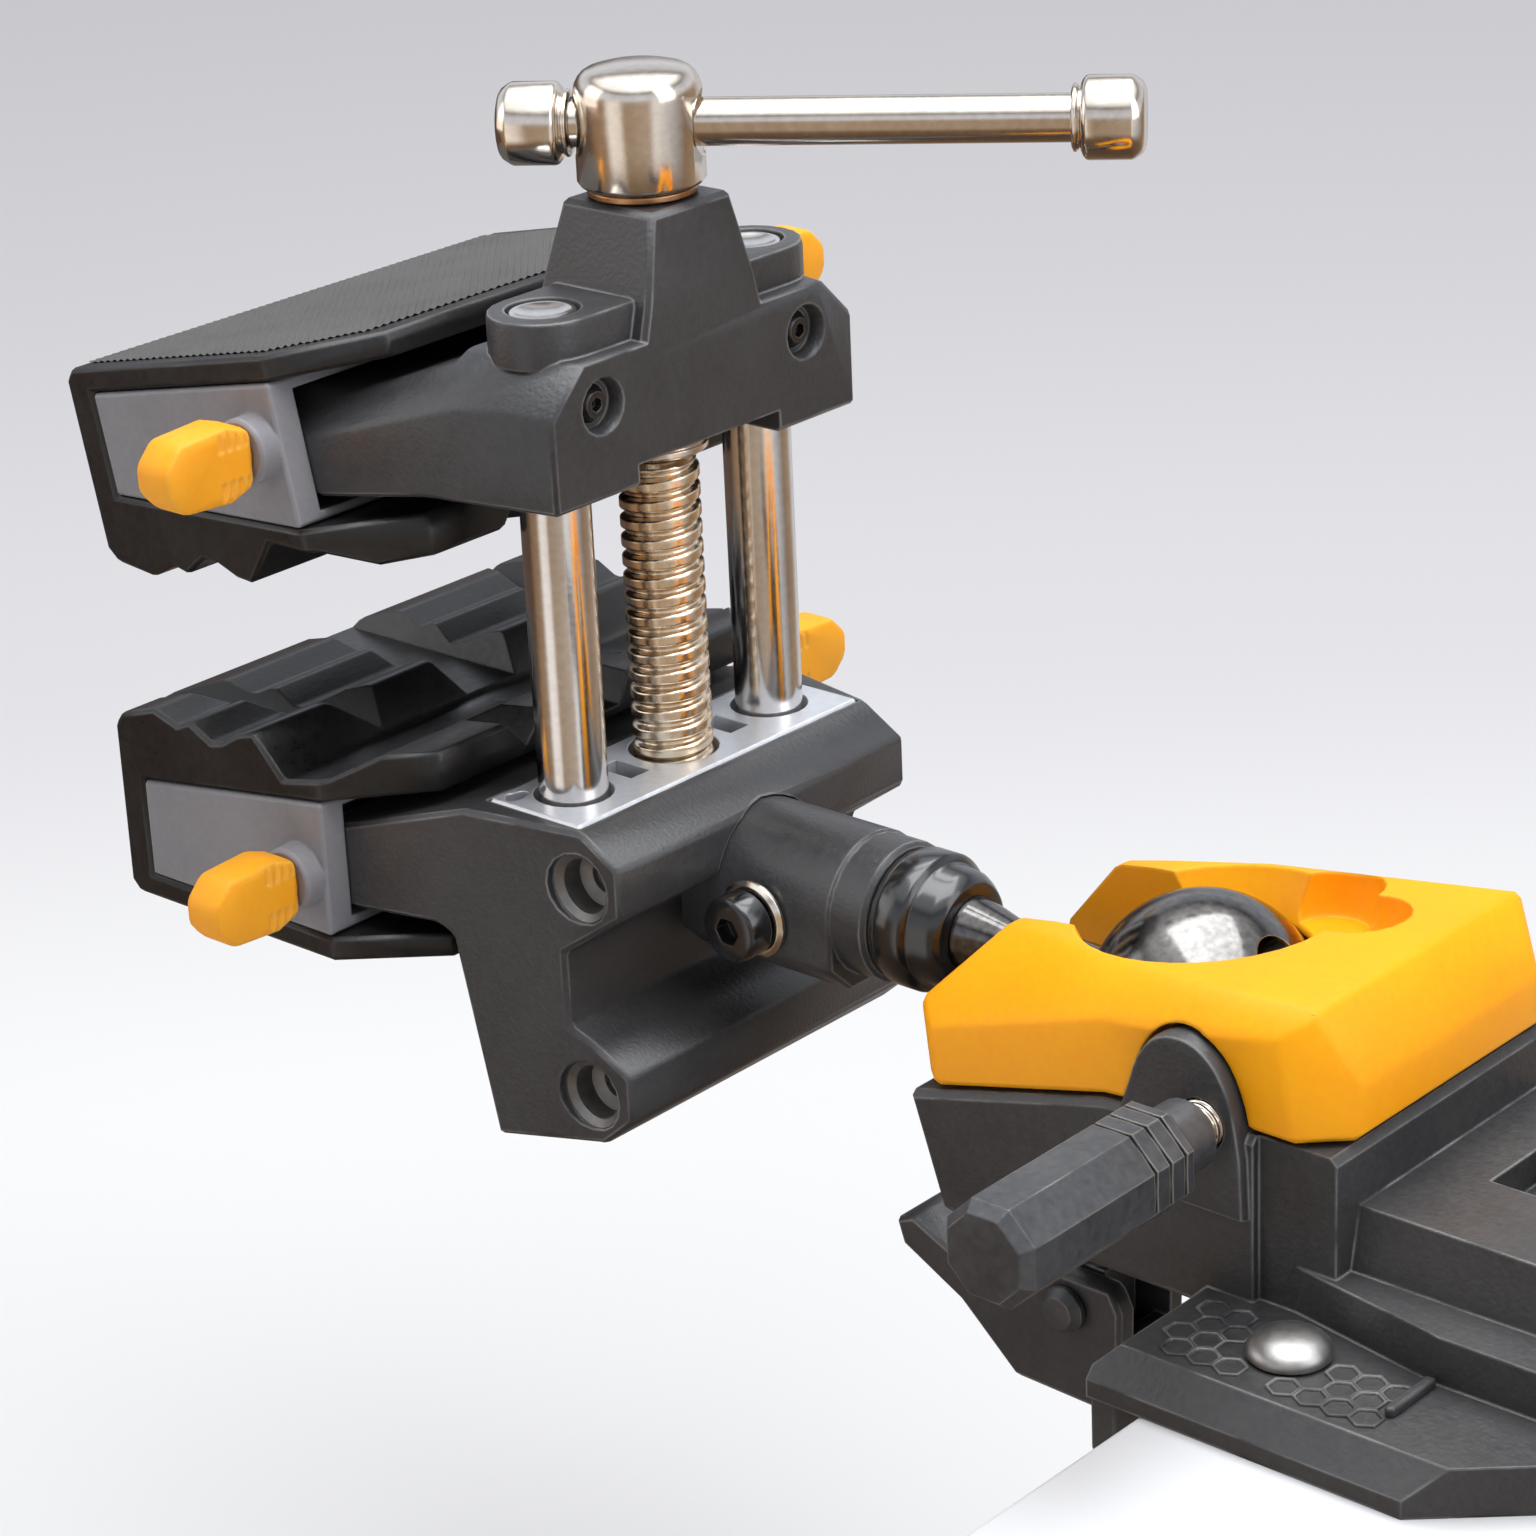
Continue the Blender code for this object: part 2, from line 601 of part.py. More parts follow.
RIDGES = [
    (22.0, -23.0),
    (14.4, -22.9),
    (7.3, -18.9),
    (-3.1, -16.7),
    (-9.8, -23.8),
    (-14.0, -22.6),
    (-18.3, -20.0),
    (-21.2, -19.3),
    (-26.6, -22.0),
    (-30.0, -20.5),
    (-36.0, -22.3),
    (-45.0, -19.5),
]


def jaw_plan(rear):
    return mirrored([(-48.0, JAW_HALF), (6.0, JAW_HALF), (rear, JAW_HALF - (rear - 6.0) * 14 / 16)])


def jaw_pad(name, upper):
    outline = [
        (22.0, PAD_OUT),
        (22.0, CARRIER_FLAT + GAP),
        (CARRIER_FRONT - GAP, CARRIER_FLAT + GAP),
        (CARRIER_FRONT - GAP, CARRIER_RIDGE_FRONT - GAP),
        (CARRIER_REAR - 1.0, CARRIER_RIDGE_REAR - GAP),
        (22.0, -15.8),
    ]
    outline += RIDGES + [(-47.0, -17.0), (-47.0, 13.2), (-45.0, PAD_OUT)]
    bm = prism(outline, "Y", -JAW_HALF - 3, JAW_HALF + 3)
    bmesh.ops.transform(bm, matrix=jaw_turn(upper), verts=bm.verts)
    pivot = head(*(UP_PIVOT if upper else LOW_PIVOT))
    obj = as_object(bm, name, RUBBER, pivot)
    plan = prism(jaw_plan(22.5), "Z", -40, 40)
    bmesh.ops.transform(plan, matrix=jaw_turn(upper), verts=plan.verts)
    keep_inside(obj, plan, "plan")
    soften(obj, 0.7)
    cut_across_ridges(obj, upper)


def cut_across_ridges(obj, upper):
    """A slanted V-notch near each end, for round stock, and a wide channel over the middle."""
    for side_name, sign in (("near", -1), ("far", 1)):
        turn = Matrix.Rotation(sign * NOTCH_TURN, 4, "Z")
        section = [(-NOTCH_HALF, RIDGE_TOP - 2), (NOTCH_HALF, RIDGE_TOP - 2), (0.0, NOTCH_ROOT)]
        notch = prism(section, "X", -80.0, 60.0)
        place = jaw_turn(upper) @ Matrix.Translation((-9.8, sign * NOTCH_Y, 0)) @ turn
        bmesh.ops.transform(notch, matrix=place, verts=notch.verts)
        cut(obj, notch, f"notch_{side_name}")
    section = [
        (-CHANNEL_HALF - 1.5, RIDGE_TOP - 2),
        (CHANNEL_HALF + 1.5, RIDGE_TOP - 2),
        (CHANNEL_HALF - 3.0, CHANNEL_ROOT),
        (-CHANNEL_HALF + 3.0, CHANNEL_ROOT),
    ]
    channel = prism(section, "X", -80.0, 60.0)
    bmesh.ops.transform(channel, matrix=jaw_turn(upper), verts=channel.verts)
    cut(obj, channel, "channel")


def jaw_carrier(name, upper):
    outline = [
        (CARRIER_REAR, CARRIER_FLAT),
        (CARRIER_FRONT, CARRIER_FLAT),
        (CARRIER_FRONT, CARRIER_RIDGE_FRONT),
        (CARRIER_REAR - 1.0, CARRIER_RIDGE_REAR),
        (CARRIER_REAR, CARRIER_RIDGE_REAR),
    ]
    bm = prism(outline, "Y", -JAW_HALF, JAW_HALF)
    turn = jaw_turn(upper)
    bmesh.ops.transform(bm, matrix=turn, verts=bm.verts)
    pivot = head(*(UP_PIVOT if upper else LOW_PIVOT))
    obj = as_object(bm, name, GREY, pivot)
    soften(obj, 0.5)
    pocket = block((-11.0, 8.0), (-WALL_IN, WALL_IN), (-12.6, 8.5))
    bmesh.ops.transform(pocket, matrix=turn, verts=pocket.verts)
    cut(obj, pocket, "pocket")
    for side_name, sign in (("near", -1), ("far", 1)):
        boss_start = Vector((0, sign * (JAW_HALF - BOSS_ROOT), 0))
        boss = rod(BOSS_R, boss_start, (0, sign, 0), BOSS_ROOT + BOSS_OUT, 0.6, 24)
        bmesh.ops.transform(boss, matrix=turn, verts=boss.verts)
        join(obj, boss, f"boss_{side_name}")
        way_start = Vector((0, sign * (JAW_HALF - 12.0), 0))
        way = rod(KNOB_PIN_R + GAP, way_start, (0, sign, 0), 20, rings=20)
        bmesh.ops.transform(way, matrix=turn, verts=way.verts)
        cut(obj, way, f"pin_way_{side_name}")


def jaw_knob(name, upper, sign):
    """A flat winged turn knob with its pin, which runs through the carrier's end wall into the tongue.

    The far knobs are backed off on their pins, as the photo shows them.
    """
    pivot = head(*(UP_PIVOT if upper else LOW_PIVOT))
    start = KNOB_START + (KNOB_BACK_OFF if sign > 0 else 0.0)
    wing = [(0.0, -5.0), (0.0, 5.0), (5.2, 6.8), (15.2, 6.2), (18.9, 2.4), (18.9, -2.4), (15.2, -6.2), (5.2, -6.8)]
    bm = prism([(sign * (start + y), z) for y, z in wing], "X", -4.2, 4.2, pivot)
    obj = as_object(bm, name, ORANGE, pivot)
    soften(obj, 1.5, 2)
    inner = TONGUE_HALF - TONGUE_PIN_DEPTH
    pin = rod(KNOB_PIN_R, pivot + Vector((0, sign * inner, 0)), (0, sign, 0), start + 2.7 - inner, 0.4, 20)
    join(obj, pin, "pin")


def split_line(x):
    """Height of the line where the cap meets the base casting."""
    if x <= 3.8:
        return -1.6 + (x - 3.8) * 0.257
    return min(-1.6 + (x - 3.8) * 0.08, 0.5)


def base_side():
    gap = 0.7
    return [
        (-35.1, split_line(-35.1) - gap),
        (3.8, split_line(3.8) - gap),
        (30.0, split_line(30.0) - gap),
        (46.6, split_line(46.6) - gap),
        (46.6, -32.0),
        (-28.6, -32.0),
    ]


def ear_outline(extra):
    """The arch that carries the cross bolt, in side view and measured from the bolt.

    The cap has the same arch cut out of it, a little larger.
    """
    crown = [
        (-16.3, -3.0),
        (-14.3, 2.4),
        (-12.3, 8.2),
        (-9.3, 12.2),
        (-5.3, 13.7),
        (-0.9, 13.0),
        (3.1, 9.6),
        (5.7, 3.6),
        (7.1, -4.0),
    ]
    outline = [(-16.3, -14.0)] + curve_through(crown, 3) + [(7.5, -14.0)]
    middle = Vector((-4.1, -4.0))
    moved = [point + (point - middle).normalized() * extra for point in map(Vector, outline)]
    return [(point.x + BOLT_X, point.y) for point in moved]


def curve_through(points, steps):
    """A smooth curve through the points, with that many segments between each two."""
    made = []
    last = len(points) - 1
    for index in range(last):
        before, start = Vector(points[max(index - 1, 0)]), Vector(points[index])
        end, after = Vector(points[index + 1]), Vector(points[min(index + 2, last)])
        for step in range(steps):
            t = step / steps
            slope_in, slope_out = (end - before) / 2, (after - start) / 2
            at = start * (2 * t**3 - 3 * t**2 + 1) + slope_in * (t**3 - 2 * t**2 + t)
            at += end * (3 * t**2 - 2 * t**3) + slope_out * (t**3 - t**2)
            made.append((at.x, at.y))
    return made + [tuple(points[last])]


def deck():
    """The raised middle of the base, over the bench."""
    half = [(25.0, DECK_TOP), (27.4, LEDGE_TOP - 1.0), (27.4, BENCH + 2.0)]
    bm = prism(half + [(-y, z) for y, z in reversed(half)], "X", 26.0, 100.0, BASE_SHIFT)
    trim_rear(bm)
    a, b = base(100, PAD_TOP), base(93, DECK_TOP)
    slice_off(bm, a, slope_through(a, b, a + Vector((0, 5, 0)), (1, 0, 1)))
    return bm


def ledge():
    """The step beside the deck, which widens to the rear."""
    plan = mirrored([(25.5, 28.6), (68.0, 36.0), (100.0, 36.0)])
    bm = prism(plan, "Z", BENCH + 1.0, LEDGE_TOP, BASE_SHIFT)
    for sign in (-1, 1):
        a, b = base(25.5, LEDGE_TOP, sign * 28.6), base(68.0, LEDGE_TOP, sign * 36.0)
        foot = base(25.5, PAD_TOP, sign * 31.0)
        slice_off(bm, a, slope_through(a, b, foot, (0, sign, 1)))
    trim_rear(bm)
    a, b = base(100, BENCH), base(95, LEDGE_TOP)
    slice_off(bm, a, slope_through(a, b, a + Vector((0, 5, 0)), (1, 0, 1)))
    return bm


def flange():
    half = [(FLANGE_HALF - FLANGE_EDGE, PAD_TOP), (FLANGE_HALF, FLANGE_SIDE_TOP), (FLANGE_HALF, BENCH)]
    bm = prism(half + [(-y, z) for y, z in reversed(half)], "X", LIP_FRONT, 100.0, BASE_SHIFT)
    a, b = base(LIP_FRONT, PAD_TOP - 3.2), base(LIP_FRONT + 3.2, PAD_TOP)
    slice_off(bm, a, slope_through(a, b, a + Vector((0, 5, 0)), (-1, 0, 1)))
    trim_rear(bm)
    return bm


def trim_rear(bm):
    """Cuts the base's rear corners on a slant."""
    for sign in (-1, 1):
        a, b = base(77, -30, sign * FLANGE_HALF), base(100, -30, sign * 39)
        slice_off(bm, a, slope_through(a, b, a + Vector((0, 0, 5)), (1, sign, 0)))


def base_casting():
    obj = as_object(prism(base_side(), "Y", -32.6, 32.6, BASE_SHIFT), "base_casting", BASE)
    soften(obj, 1.2)
    for sign in (-1, 1):
        rear = block((32.6, 50.0), sorted((sign * 31.0, sign * 40.0)), (-40, 10))
        bmesh.ops.translate(rear, verts=rear.verts, vec=BASE_SHIFT)
        cut(obj, rear, f"rear_relief_{'far' if sign > 0 else 'near'}")
    join(obj, flange(), "flange")
    join(obj, ledge(), "ledge")
    join(obj, deck(), "deck")
    cut(obj, rod(CUP_R + 0.4, base(0, -CUP_DEPTH - GAP), (0, 0, 1), 40, rings=32), "cup_seat")
    for side_name, sign in (("near", -1), ("far", 1)):
        ear = prism(ear_outline(0.0), "Y", *sorted((sign * 27.4, sign * EAR_OUT)), BASE_SHIFT)
        bevel_outer(ear, sign * EAR_OUT, 1.2)
        join(obj, ear, f"ear_{side_name}")
        way = rod(3.3, base(DOME_BOLT_X, -40, sign * DOME_BOLT_Y), (0, 0, 1), 20, rings=20)
        cut(obj, way, f"bolt_way_{side_name}")
    cut(obj, rod(BOLT_R + GAP, base(BOLT_X, BOLT_Z, -50), (0, 1, 0), 100, rings=20), "cross_way")
    cut(obj, rod(4.3, base(LUG_X, -40), (0, 0, 1), 15, rings=20), "lug_way")
    pocket = block((58, 88), (-7, 7), (-16, 0))
    bmesh.ops.translate(pocket, verts=pocket.verts, vec=BASE_SHIFT)
    cut(obj, pocket, "deck_pocket")


def bench_lip():
    """The strip under the flange's front edge that stops against the bench."""
    section = [(LIP_FRONT, BENCH - GAP), (LIP_REAR, BENCH - GAP), (LIP_REAR, BENCH - LIP_DEPTH), (LIP_FRONT, BENCH - LIP_DEPTH)]
    as_object(prism(section, "Y", -FLANGE_HALF + 1, FLANGE_HALF - 1, BASE_SHIFT), "bench_lip", BASE)


def bevel_outer(bm, at_y, width):
    edges = [edge for edge in bm.edges if all(abs(v.co.y - at_y) < 1e-4 for v in edge.verts)]
    bmesh.ops.bevel(bm, geom=edges, offset=width, segments=2, profile=0.6, affect="EDGES", clamp_overlap=True)


def dome_bolt(side_name, sign):
    start = base(DOME_BOLT_X, BENCH + GAP, sign * DOME_BOLT_Y)
    top = PAD_TOP - BENCH - GAP
    outline = [(0, 0), (3.0, 0), (3.0, top + GAP), (6.6, top + GAP), (6.6, top + 1.0), (5.6, top + 2.6)]
    outline += [(3.4, top + 3.8), (0, top + 4.2)]
    as_object(aim(lathe(outline, 20), (0, 0, 1), start), f"dome_bolt_{side_name}", NICKEL)


def ball_cap():
    profile = [
        (-37.6, -0.2),
        (-34.6, split_line(-34.6)),
        (3.8, split_line(3.8)),
        (30.0, split_line(30.0)),
        (46.6, split_line(46.6)),
        (46.6, 9.0),
        (40.2, 20.8),
        (-20.0, 14.2),
        (-27.0, 13.0),
    ]
    bm = prism(profile, "Y", -32.0, 32.0, BASE_SHIFT)
    for sign in (-1, 1):
        a, b, c = base(-26.8, 1.3, sign * 32), base(4.1, 11.6, sign * 32), base(-23, 13.4, sign * 17)
        slice_off(bm, a, slope_through(a, b, c, (0, sign, 1)))
        a, b, c = base(4.1, 11.6, sign * 32), base(36.4, 17.1, sign * 32), base(38, 20.0, sign * 27.5)
        slice_off(bm, a, slope_through(a, b, c, (0, sign, 1)))
        a, b, c = base(36.4, 17.1, sign * 32), base(39.5, 0.5, sign * 32), base(46.6, 0.5, sign * 25.5)
        slice_off(bm, a, slope_through(a, b, c, (1, sign, 0)))
        a, b, c = base(-37.6, -0.2, sign * 25), base(-30.5, 1.0, sign * 32), base(-29.4, -10, sign * 32)
        slice_off(bm, a, slope_through(a, b, c, (-1, sign, 0)))
    obj = as_object(bm, "ball_cap", YELLOW)
    soften(obj, 1.0, angle=20)
    cut(obj, rod(BALL_R + 0.6, base(0, -20), (0, 0, 1), 29.0, rings=32), "ball_way")
    bowl = [(0, 0), (BALL_R - 1.8, 0), (BALL_R - 1.2, 1.4), (BALL_R + 1.4, 6.0), (BALL_R + 4.0, 12.0), (0, 12.0)]
    cut(obj, aim(lathe(bowl, 32), (0, 0, 1), base(0, 8.4)), "bowl")
    for name, x, y, z in (("scallop_far", 13.0, 16.5, 10.0), ("scallop_rear", 23.2, 9.0, 12.5)):
        scoop = [(0, 0), (6.5, 0), (7.6, 1.6), (9.0, 14.0), (0, 14.0)]
        cut(obj, aim(lathe(scoop, 20), (0, 0, 1), base(x, z, y)), name)
    slot = block((-42, -8), (-13.0, 13.0), (-14, 25))
    bmesh.ops.translate(slot, verts=slot.verts, vec=BASE_SHIFT)
    cut(obj, slot, "stem_slot")
    for side_name, sign in (("near", -1), ("far", 1)):
        arch = prism(ear_outline(0.8), "Y", *sorted((sign * 26.8, sign * 40)), BASE_SHIFT)
        cut(obj, arch, f"arch_{side_name}")
    cut(obj, rod(BOLT_R + GAP, base(BOLT_X, BOLT_Z, -40), (0, 1, 0), 80, rings=20), "cross_way")


def seat_rings():
    """The split ring that holds the ball down under the cap, and the cup that carries it from below."""
    inner = BALL_R + GAP
    ring = [(math.sqrt(inner**2 - z**2), z) for z in (2.0, 4.0, 6.0, 8.0)]
    outline = ring + [(BALL_R + 0.3, 8.0), (BALL_R + 0.3, 2.0)]
    obj = as_object(aim(lathe(outline, 32, closed=True), (0, 0, 1), base(0, 0)), "seat_ring", BRONZE)
    slot = block((-42, 0), (-13.3, 13.3), (-14, 25))
    bmesh.ops.translate(slot, verts=slot.verts, vec=BASE_SHIFT)
    cut(obj, slot, "stem_slot")
    dish = [(inner * math.sin(math.radians(t)), -inner * math.cos(math.radians(t))) for t in (0, 13, 26, 39, 51, 62)]
    cup = dish + [(CUP_R, dish[-1][1]), (CUP_R, -CUP_DEPTH), (0, -CUP_DEPTH)]
    as_object(aim(lathe(cup, 28), (0, 0, 1), base(0, 0)), "ball_cup", BRONZE, base(0, 0))


def cross_bolt():
    start = base(BOLT_X, BOLT_Z, BOLT_NEAR)
    as_object(rod(BOLT_R, start, (0, 1, 0), BOLT_FAR - BOLT_NEAR, 0.6, 20), "cross_bolt", NICKEL, start)
    nut = rod(7.2, base(BOLT_X, BOLT_Z, EAR_OUT + 0.4), (0, 1, 0), 6.5, 0.6, 6)
    obj = as_object(nut, "cross_nut", BLACK)
    cut(obj, rod(BOLT_R + GAP, base(BOLT_X, BOLT_Z, 30), (0, 1, 0), 20, rings=20), "way")


def grip():
    start = base(BOLT_X, BOLT_Z, -38)
    flats = 16.0
    corner = flats / 2 / math.cos(math.pi / 8)
    outline = [(0, 0), (5.4, 0), (5.8, 0.5), (5.8, 10), (0, 10)]
    obj = as_object(aim(lathe(outline, 24), (0, -1, 0), start), "clamp_grip", CAST, start)
    grip_run = [(0, 0), (corner - 1.4, 0), (corner, 1.6), (corner, 39.0), (corner - 1.6, 41.0), (0, 41.0)]
    octagon = lathe(grip_run, 8)
    bmesh.ops.rotate(octagon, verts=octagon.verts, matrix=Matrix.Rotation(math.pi / 8, 3, "Z"))
    join(obj, aim(octagon, (0, -1, 0), base(BOLT_X, BOLT_Z, -45.5)), "octagon")
    cut(obj, rod(BOLT_R + GAP, base(BOLT_X, BOLT_Z, -57), (0, 1, 0), 30, rings=20), "thread_way")


def lever():
    """The cam lever under the housing, on a lug bar screwed into the underside."""
    pin_x, pin_z = LUG_X, PIN_Z
    top = -27.6
    bar = as_object(rod(4.0, base(LUG_X, -60.5), (0, 0, 1), top + 60.5, 0.5, 20), "lug_bar", CAST)
    eye = [(LUG_X - 4.4, -63.4), (LUG_X + 4.4, -63.4), (LUG_X + 4.4, -52), (LUG_X - 4.4, -52)]
    join(bar, prism(eye, "Y", -4.0, 4.0, BASE_SHIFT), "eye")
    cut(bar, rod(2.8, base(pin_x, pin_z, -15), (0, 1, 0), 30, rings=16), "pin_way")
    pin = [(0, 0), (2.4, 0), (2.4, 18.6), (4.2, 18.6), (4.2, 19.6), (2.8, 21.0), (0, 21.4)]
    start = base(pin_x, pin_z, 9.2)
    as_object(aim(lathe(pin, 20), (0, -1, 0), start), "lever_pin", NICKEL)
    outline = [
        (-33.5, -75.0),
        (-14.0, -75.6),
        (-11.4, -73.0),
        (-11.0, -56.0),
        (-13.0, -52.0),
        (-31.0, -52.0),
        (-37.0, -60.0),
        (-55.0, -51.5),
        (-59.0, -53.2),
        (-57.5, -57.8),
        (-45.0, -64.5),
    ]
    pivot = base(pin_x, pin_z)
    obj = as_object(prism(outline, "Y", -9.0, 9.0, BASE_SHIFT), "cam_lever", CAST, pivot)
    soften(obj, 0.8)
    window = block((-29.6, -14.6), (-5.2, 5.2), (-69.0, -45.0))
    bmesh.ops.translate(window, verts=window.verts, vec=BASE_SHIFT)
    cut(obj, window, "fork")
    opening = block((-20.0, -5.0), (-5.2, 5.2), (-62.4, -45.0))
    bmesh.ops.translate(opening, verts=opening.verts, vec=BASE_SHIFT)
    cut(obj, opening, "fork_back")
    cut(obj, rod(2.8, base(pin_x, pin_z, -15), (0, 1, 0), 30, rings=16), "pin_way")


def merge_slivers():
    """Joins the nearly coincident points that Booleans leave behind."""
    for obj in bpy.data.objects:
        if obj.modifiers and not obj.hide_render:
            step = obj.modifiers.new("merge", "WELD")
            step.merge_threshold = WELD_STEP * MM


def build():
    clear_scene()
    base_casting()
    bench_lip()
    ball_cap()
    seat_rings()
    cross_bolt()
    grip()
    lever()
    ball_stud()
    stem_collar()
    barrel()
    barrel_screw()
    lower_body()
    guide_plate()
    lead_nut()
    upper_body()
    lead_screw()
    hub()
    t_bar()
    for side_name, sign in (("near", -1), ("far", 1)):
        dome_bolt(side_name, sign)
        guide_rod(side_name, sign)
        rod_screw(side_name, sign)
    for level, upper in (("upper", True), ("lower", False)):
        jaw_carrier(f"{level}_carrier", upper)
        jaw_pad(f"{level}_pad", upper)
        for side_name, sign in (("near", -1), ("far", 1)):
            jaw_knob(f"{level}_knob_{side_name}", upper, sign)
    merge_slivers()


build()
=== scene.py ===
# %% [markdown]
# # Articulating bench vise: looks
#
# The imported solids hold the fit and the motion. This notebook gives them their finish, and
# builds finer versions of the turned and fluted pieces in the same places.
# Lengths are millimetres in the code and are scaled to metres as each mesh is made.

import json
import math

import bmesh
import bpy
from mathutils import Matrix, Vector


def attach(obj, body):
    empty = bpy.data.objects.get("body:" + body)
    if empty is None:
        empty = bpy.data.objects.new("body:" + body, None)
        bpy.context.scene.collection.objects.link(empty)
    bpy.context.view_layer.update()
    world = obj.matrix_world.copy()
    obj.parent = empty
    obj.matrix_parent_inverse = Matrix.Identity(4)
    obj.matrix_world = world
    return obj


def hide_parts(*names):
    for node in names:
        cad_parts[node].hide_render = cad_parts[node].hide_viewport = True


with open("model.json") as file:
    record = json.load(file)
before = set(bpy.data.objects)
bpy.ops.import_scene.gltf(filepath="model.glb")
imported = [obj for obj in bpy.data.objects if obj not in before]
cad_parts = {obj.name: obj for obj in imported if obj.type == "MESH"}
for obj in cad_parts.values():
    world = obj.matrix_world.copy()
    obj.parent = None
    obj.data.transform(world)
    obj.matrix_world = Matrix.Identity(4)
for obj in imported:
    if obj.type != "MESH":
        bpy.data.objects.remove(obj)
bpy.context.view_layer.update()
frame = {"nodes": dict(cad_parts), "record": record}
nodes = frame["nodes"]

# %% [markdown]
# ## Two places to measure from
#
# The real vise is a head and a base that meet at the ball. Everything could be measured from the
# world's origin, but a length read on the photo is easier to use from where it was read. So the
# head is measured from the rear edge of its guide plate, and the base from the ball's centre.

# %% Origins of the head and the base
MM = 0.001
HEAD = Vector((-147.0, 0, 53.8))
BALL = Vector((-46.0, 0, 36.0))


def hx(x, z, y=0.0):
    """A place on the head."""
    return HEAD + Vector((x, y, z))


def bx(x, z):
    """A place on the base, in the middle of its width."""
    return BALL + Vector((x, 0, z))


print("plate edge:", tuple(HEAD), "ball centre:", tuple(BALL))

# %% [markdown]
# ## Node group: worn edges with painted highlight, and fine grain
#
# Cast and moulded edges on the real vise are slightly round and rubbed pale. The rounding comes
# from the Bevel node, so that crisp solids catch a soft highlight, and the difference between
# the rounded and the true normal is the mask for the paler edges, partly wear and partly a
# painted highlight. Pointiness could make the mask too, but it needs a dense mesh.

# %% Helpers for node groups
def new_group(name, inputs, outputs):
    group = bpy.data.node_groups.new(name, "ShaderNodeTree")
    for label, kind, value in inputs:
        socket = group.interface.new_socket(label, in_out="INPUT", socket_type=kind)
        socket.default_value = value
    for label, kind in outputs:
        group.interface.new_socket(label, in_out="OUTPUT", socket_type=kind)
    start = group.nodes.new("NodeGroupInput")
    end = group.nodes.new("NodeGroupOutput")
    return group, start, end


def wire(group, pairs):
    for source, target in pairs:
        group.links.new(source, target)


def range_node(tree, low, high):
    """A map range node that turns low to high into 0 to 1."""
    node = tree.nodes.new("ShaderNodeMapRange")
    node.inputs["From Min"].default_value = low
    node.inputs["From Max"].default_value = high
    return node


print("node groups before the first:", len(bpy.data.node_groups))

# %% [markdown]
# ## The group for worn edges and painted highlight
#
# The paler edge, wear and painted highlight in one, starts where the two normals part and is
# full a little further on. A patchy noise is multiplied in, because no tool rubs every edge alike.

# %% Build the group for worn edges and painted highlight
WEAR_AND_HIGHLIGHT_STARTS = 0.995
WEAR_AND_HIGHLIGHT_FULL = 0.9
WEAR_AND_HIGHLIGHT_PATCH_SCALE = 90.0
GRAIN_DEPTH = 0.0003


# The mask is for paler edges: partly wear, partly a painted highlight along the rounds.
def edge_group():
    group, start, end = new_group(
        "edge_wear_and_painted_highlight",
        [
            ("Radius", "NodeSocketFloat", 0.0008),
            ("Grain", "NodeSocketFloat", 900.0),
            ("Bump", "NodeSocketFloat", 0.1),
        ],
        [("Mask", "NodeSocketFloat"), ("Normal", "NodeSocketVector")],
    )
    bevel = group.nodes.new("ShaderNodeBevel")
    bevel.samples = 6
    true = group.nodes.new("ShaderNodeNewGeometry")
    dot = group.nodes.new("ShaderNodeVectorMath")
    dot.operation = "DOT_PRODUCT"
    ramp = range_node(group, WEAR_AND_HIGHLIGHT_STARTS, WEAR_AND_HIGHLIGHT_FULL)
    place = group.nodes.new("ShaderNodeTexCoord")
    noise = group.nodes.new("ShaderNodeTexNoise")
    noise.inputs["Detail"].default_value = 3.0
    patch = group.nodes.new("ShaderNodeTexNoise")
    patch.inputs["Scale"].default_value = WEAR_AND_HIGHLIGHT_PATCH_SCALE
    patchy = range_node(group, 0.36, 0.56)
    product = group.nodes.new("ShaderNodeMath")
    product.operation = "MULTIPLY"
    bump = group.nodes.new("ShaderNodeBump")
    bump.inputs["Distance"].default_value = GRAIN_DEPTH
    wire(
        group,
        [
            (start.outputs["Radius"], bevel.inputs["Radius"]),
            (bevel.outputs["Normal"], dot.inputs[0]),
            (true.outputs["Normal"], dot.inputs[1]),
            (dot.outputs["Value"], ramp.inputs["Value"]),
            (place.outputs["Object"], noise.inputs["Vector"]),
            (start.outputs["Grain"], noise.inputs["Scale"]),
            (place.outputs["Object"], patch.inputs["Vector"]),
            (patch.outputs["Fac"], patchy.inputs["Value"]),
            (ramp.outputs["Result"], product.inputs[0]),
            (patchy.outputs["Result"], product.inputs[1]),
            (product.outputs["Value"], end.inputs["Mask"]),
            (start.outputs["Bump"], bump.inputs["Strength"]),
            (noise.outputs["Fac"], bump.inputs["Height"]),
            (bevel.outputs["Normal"], bump.inputs["Normal"]),
            (bump.outputs["Normal"], end.inputs["Normal"]),
        ],
    )
    return group


EDGES = edge_group()
print("node group:", EDGES.name, "with", len(EDGES.nodes), "nodes")

# %% [markdown]
# ## Node group: soft patches and specks
#
# No real surface has one even tone. Two noises, one large and one fine, are mixed to a value
# around one half. An image of dirt would do the same, but it needs unwrapping.

# %% Build the tone group
FINE_SPECKS = 700.0
SPECK_SHARE = 0.35


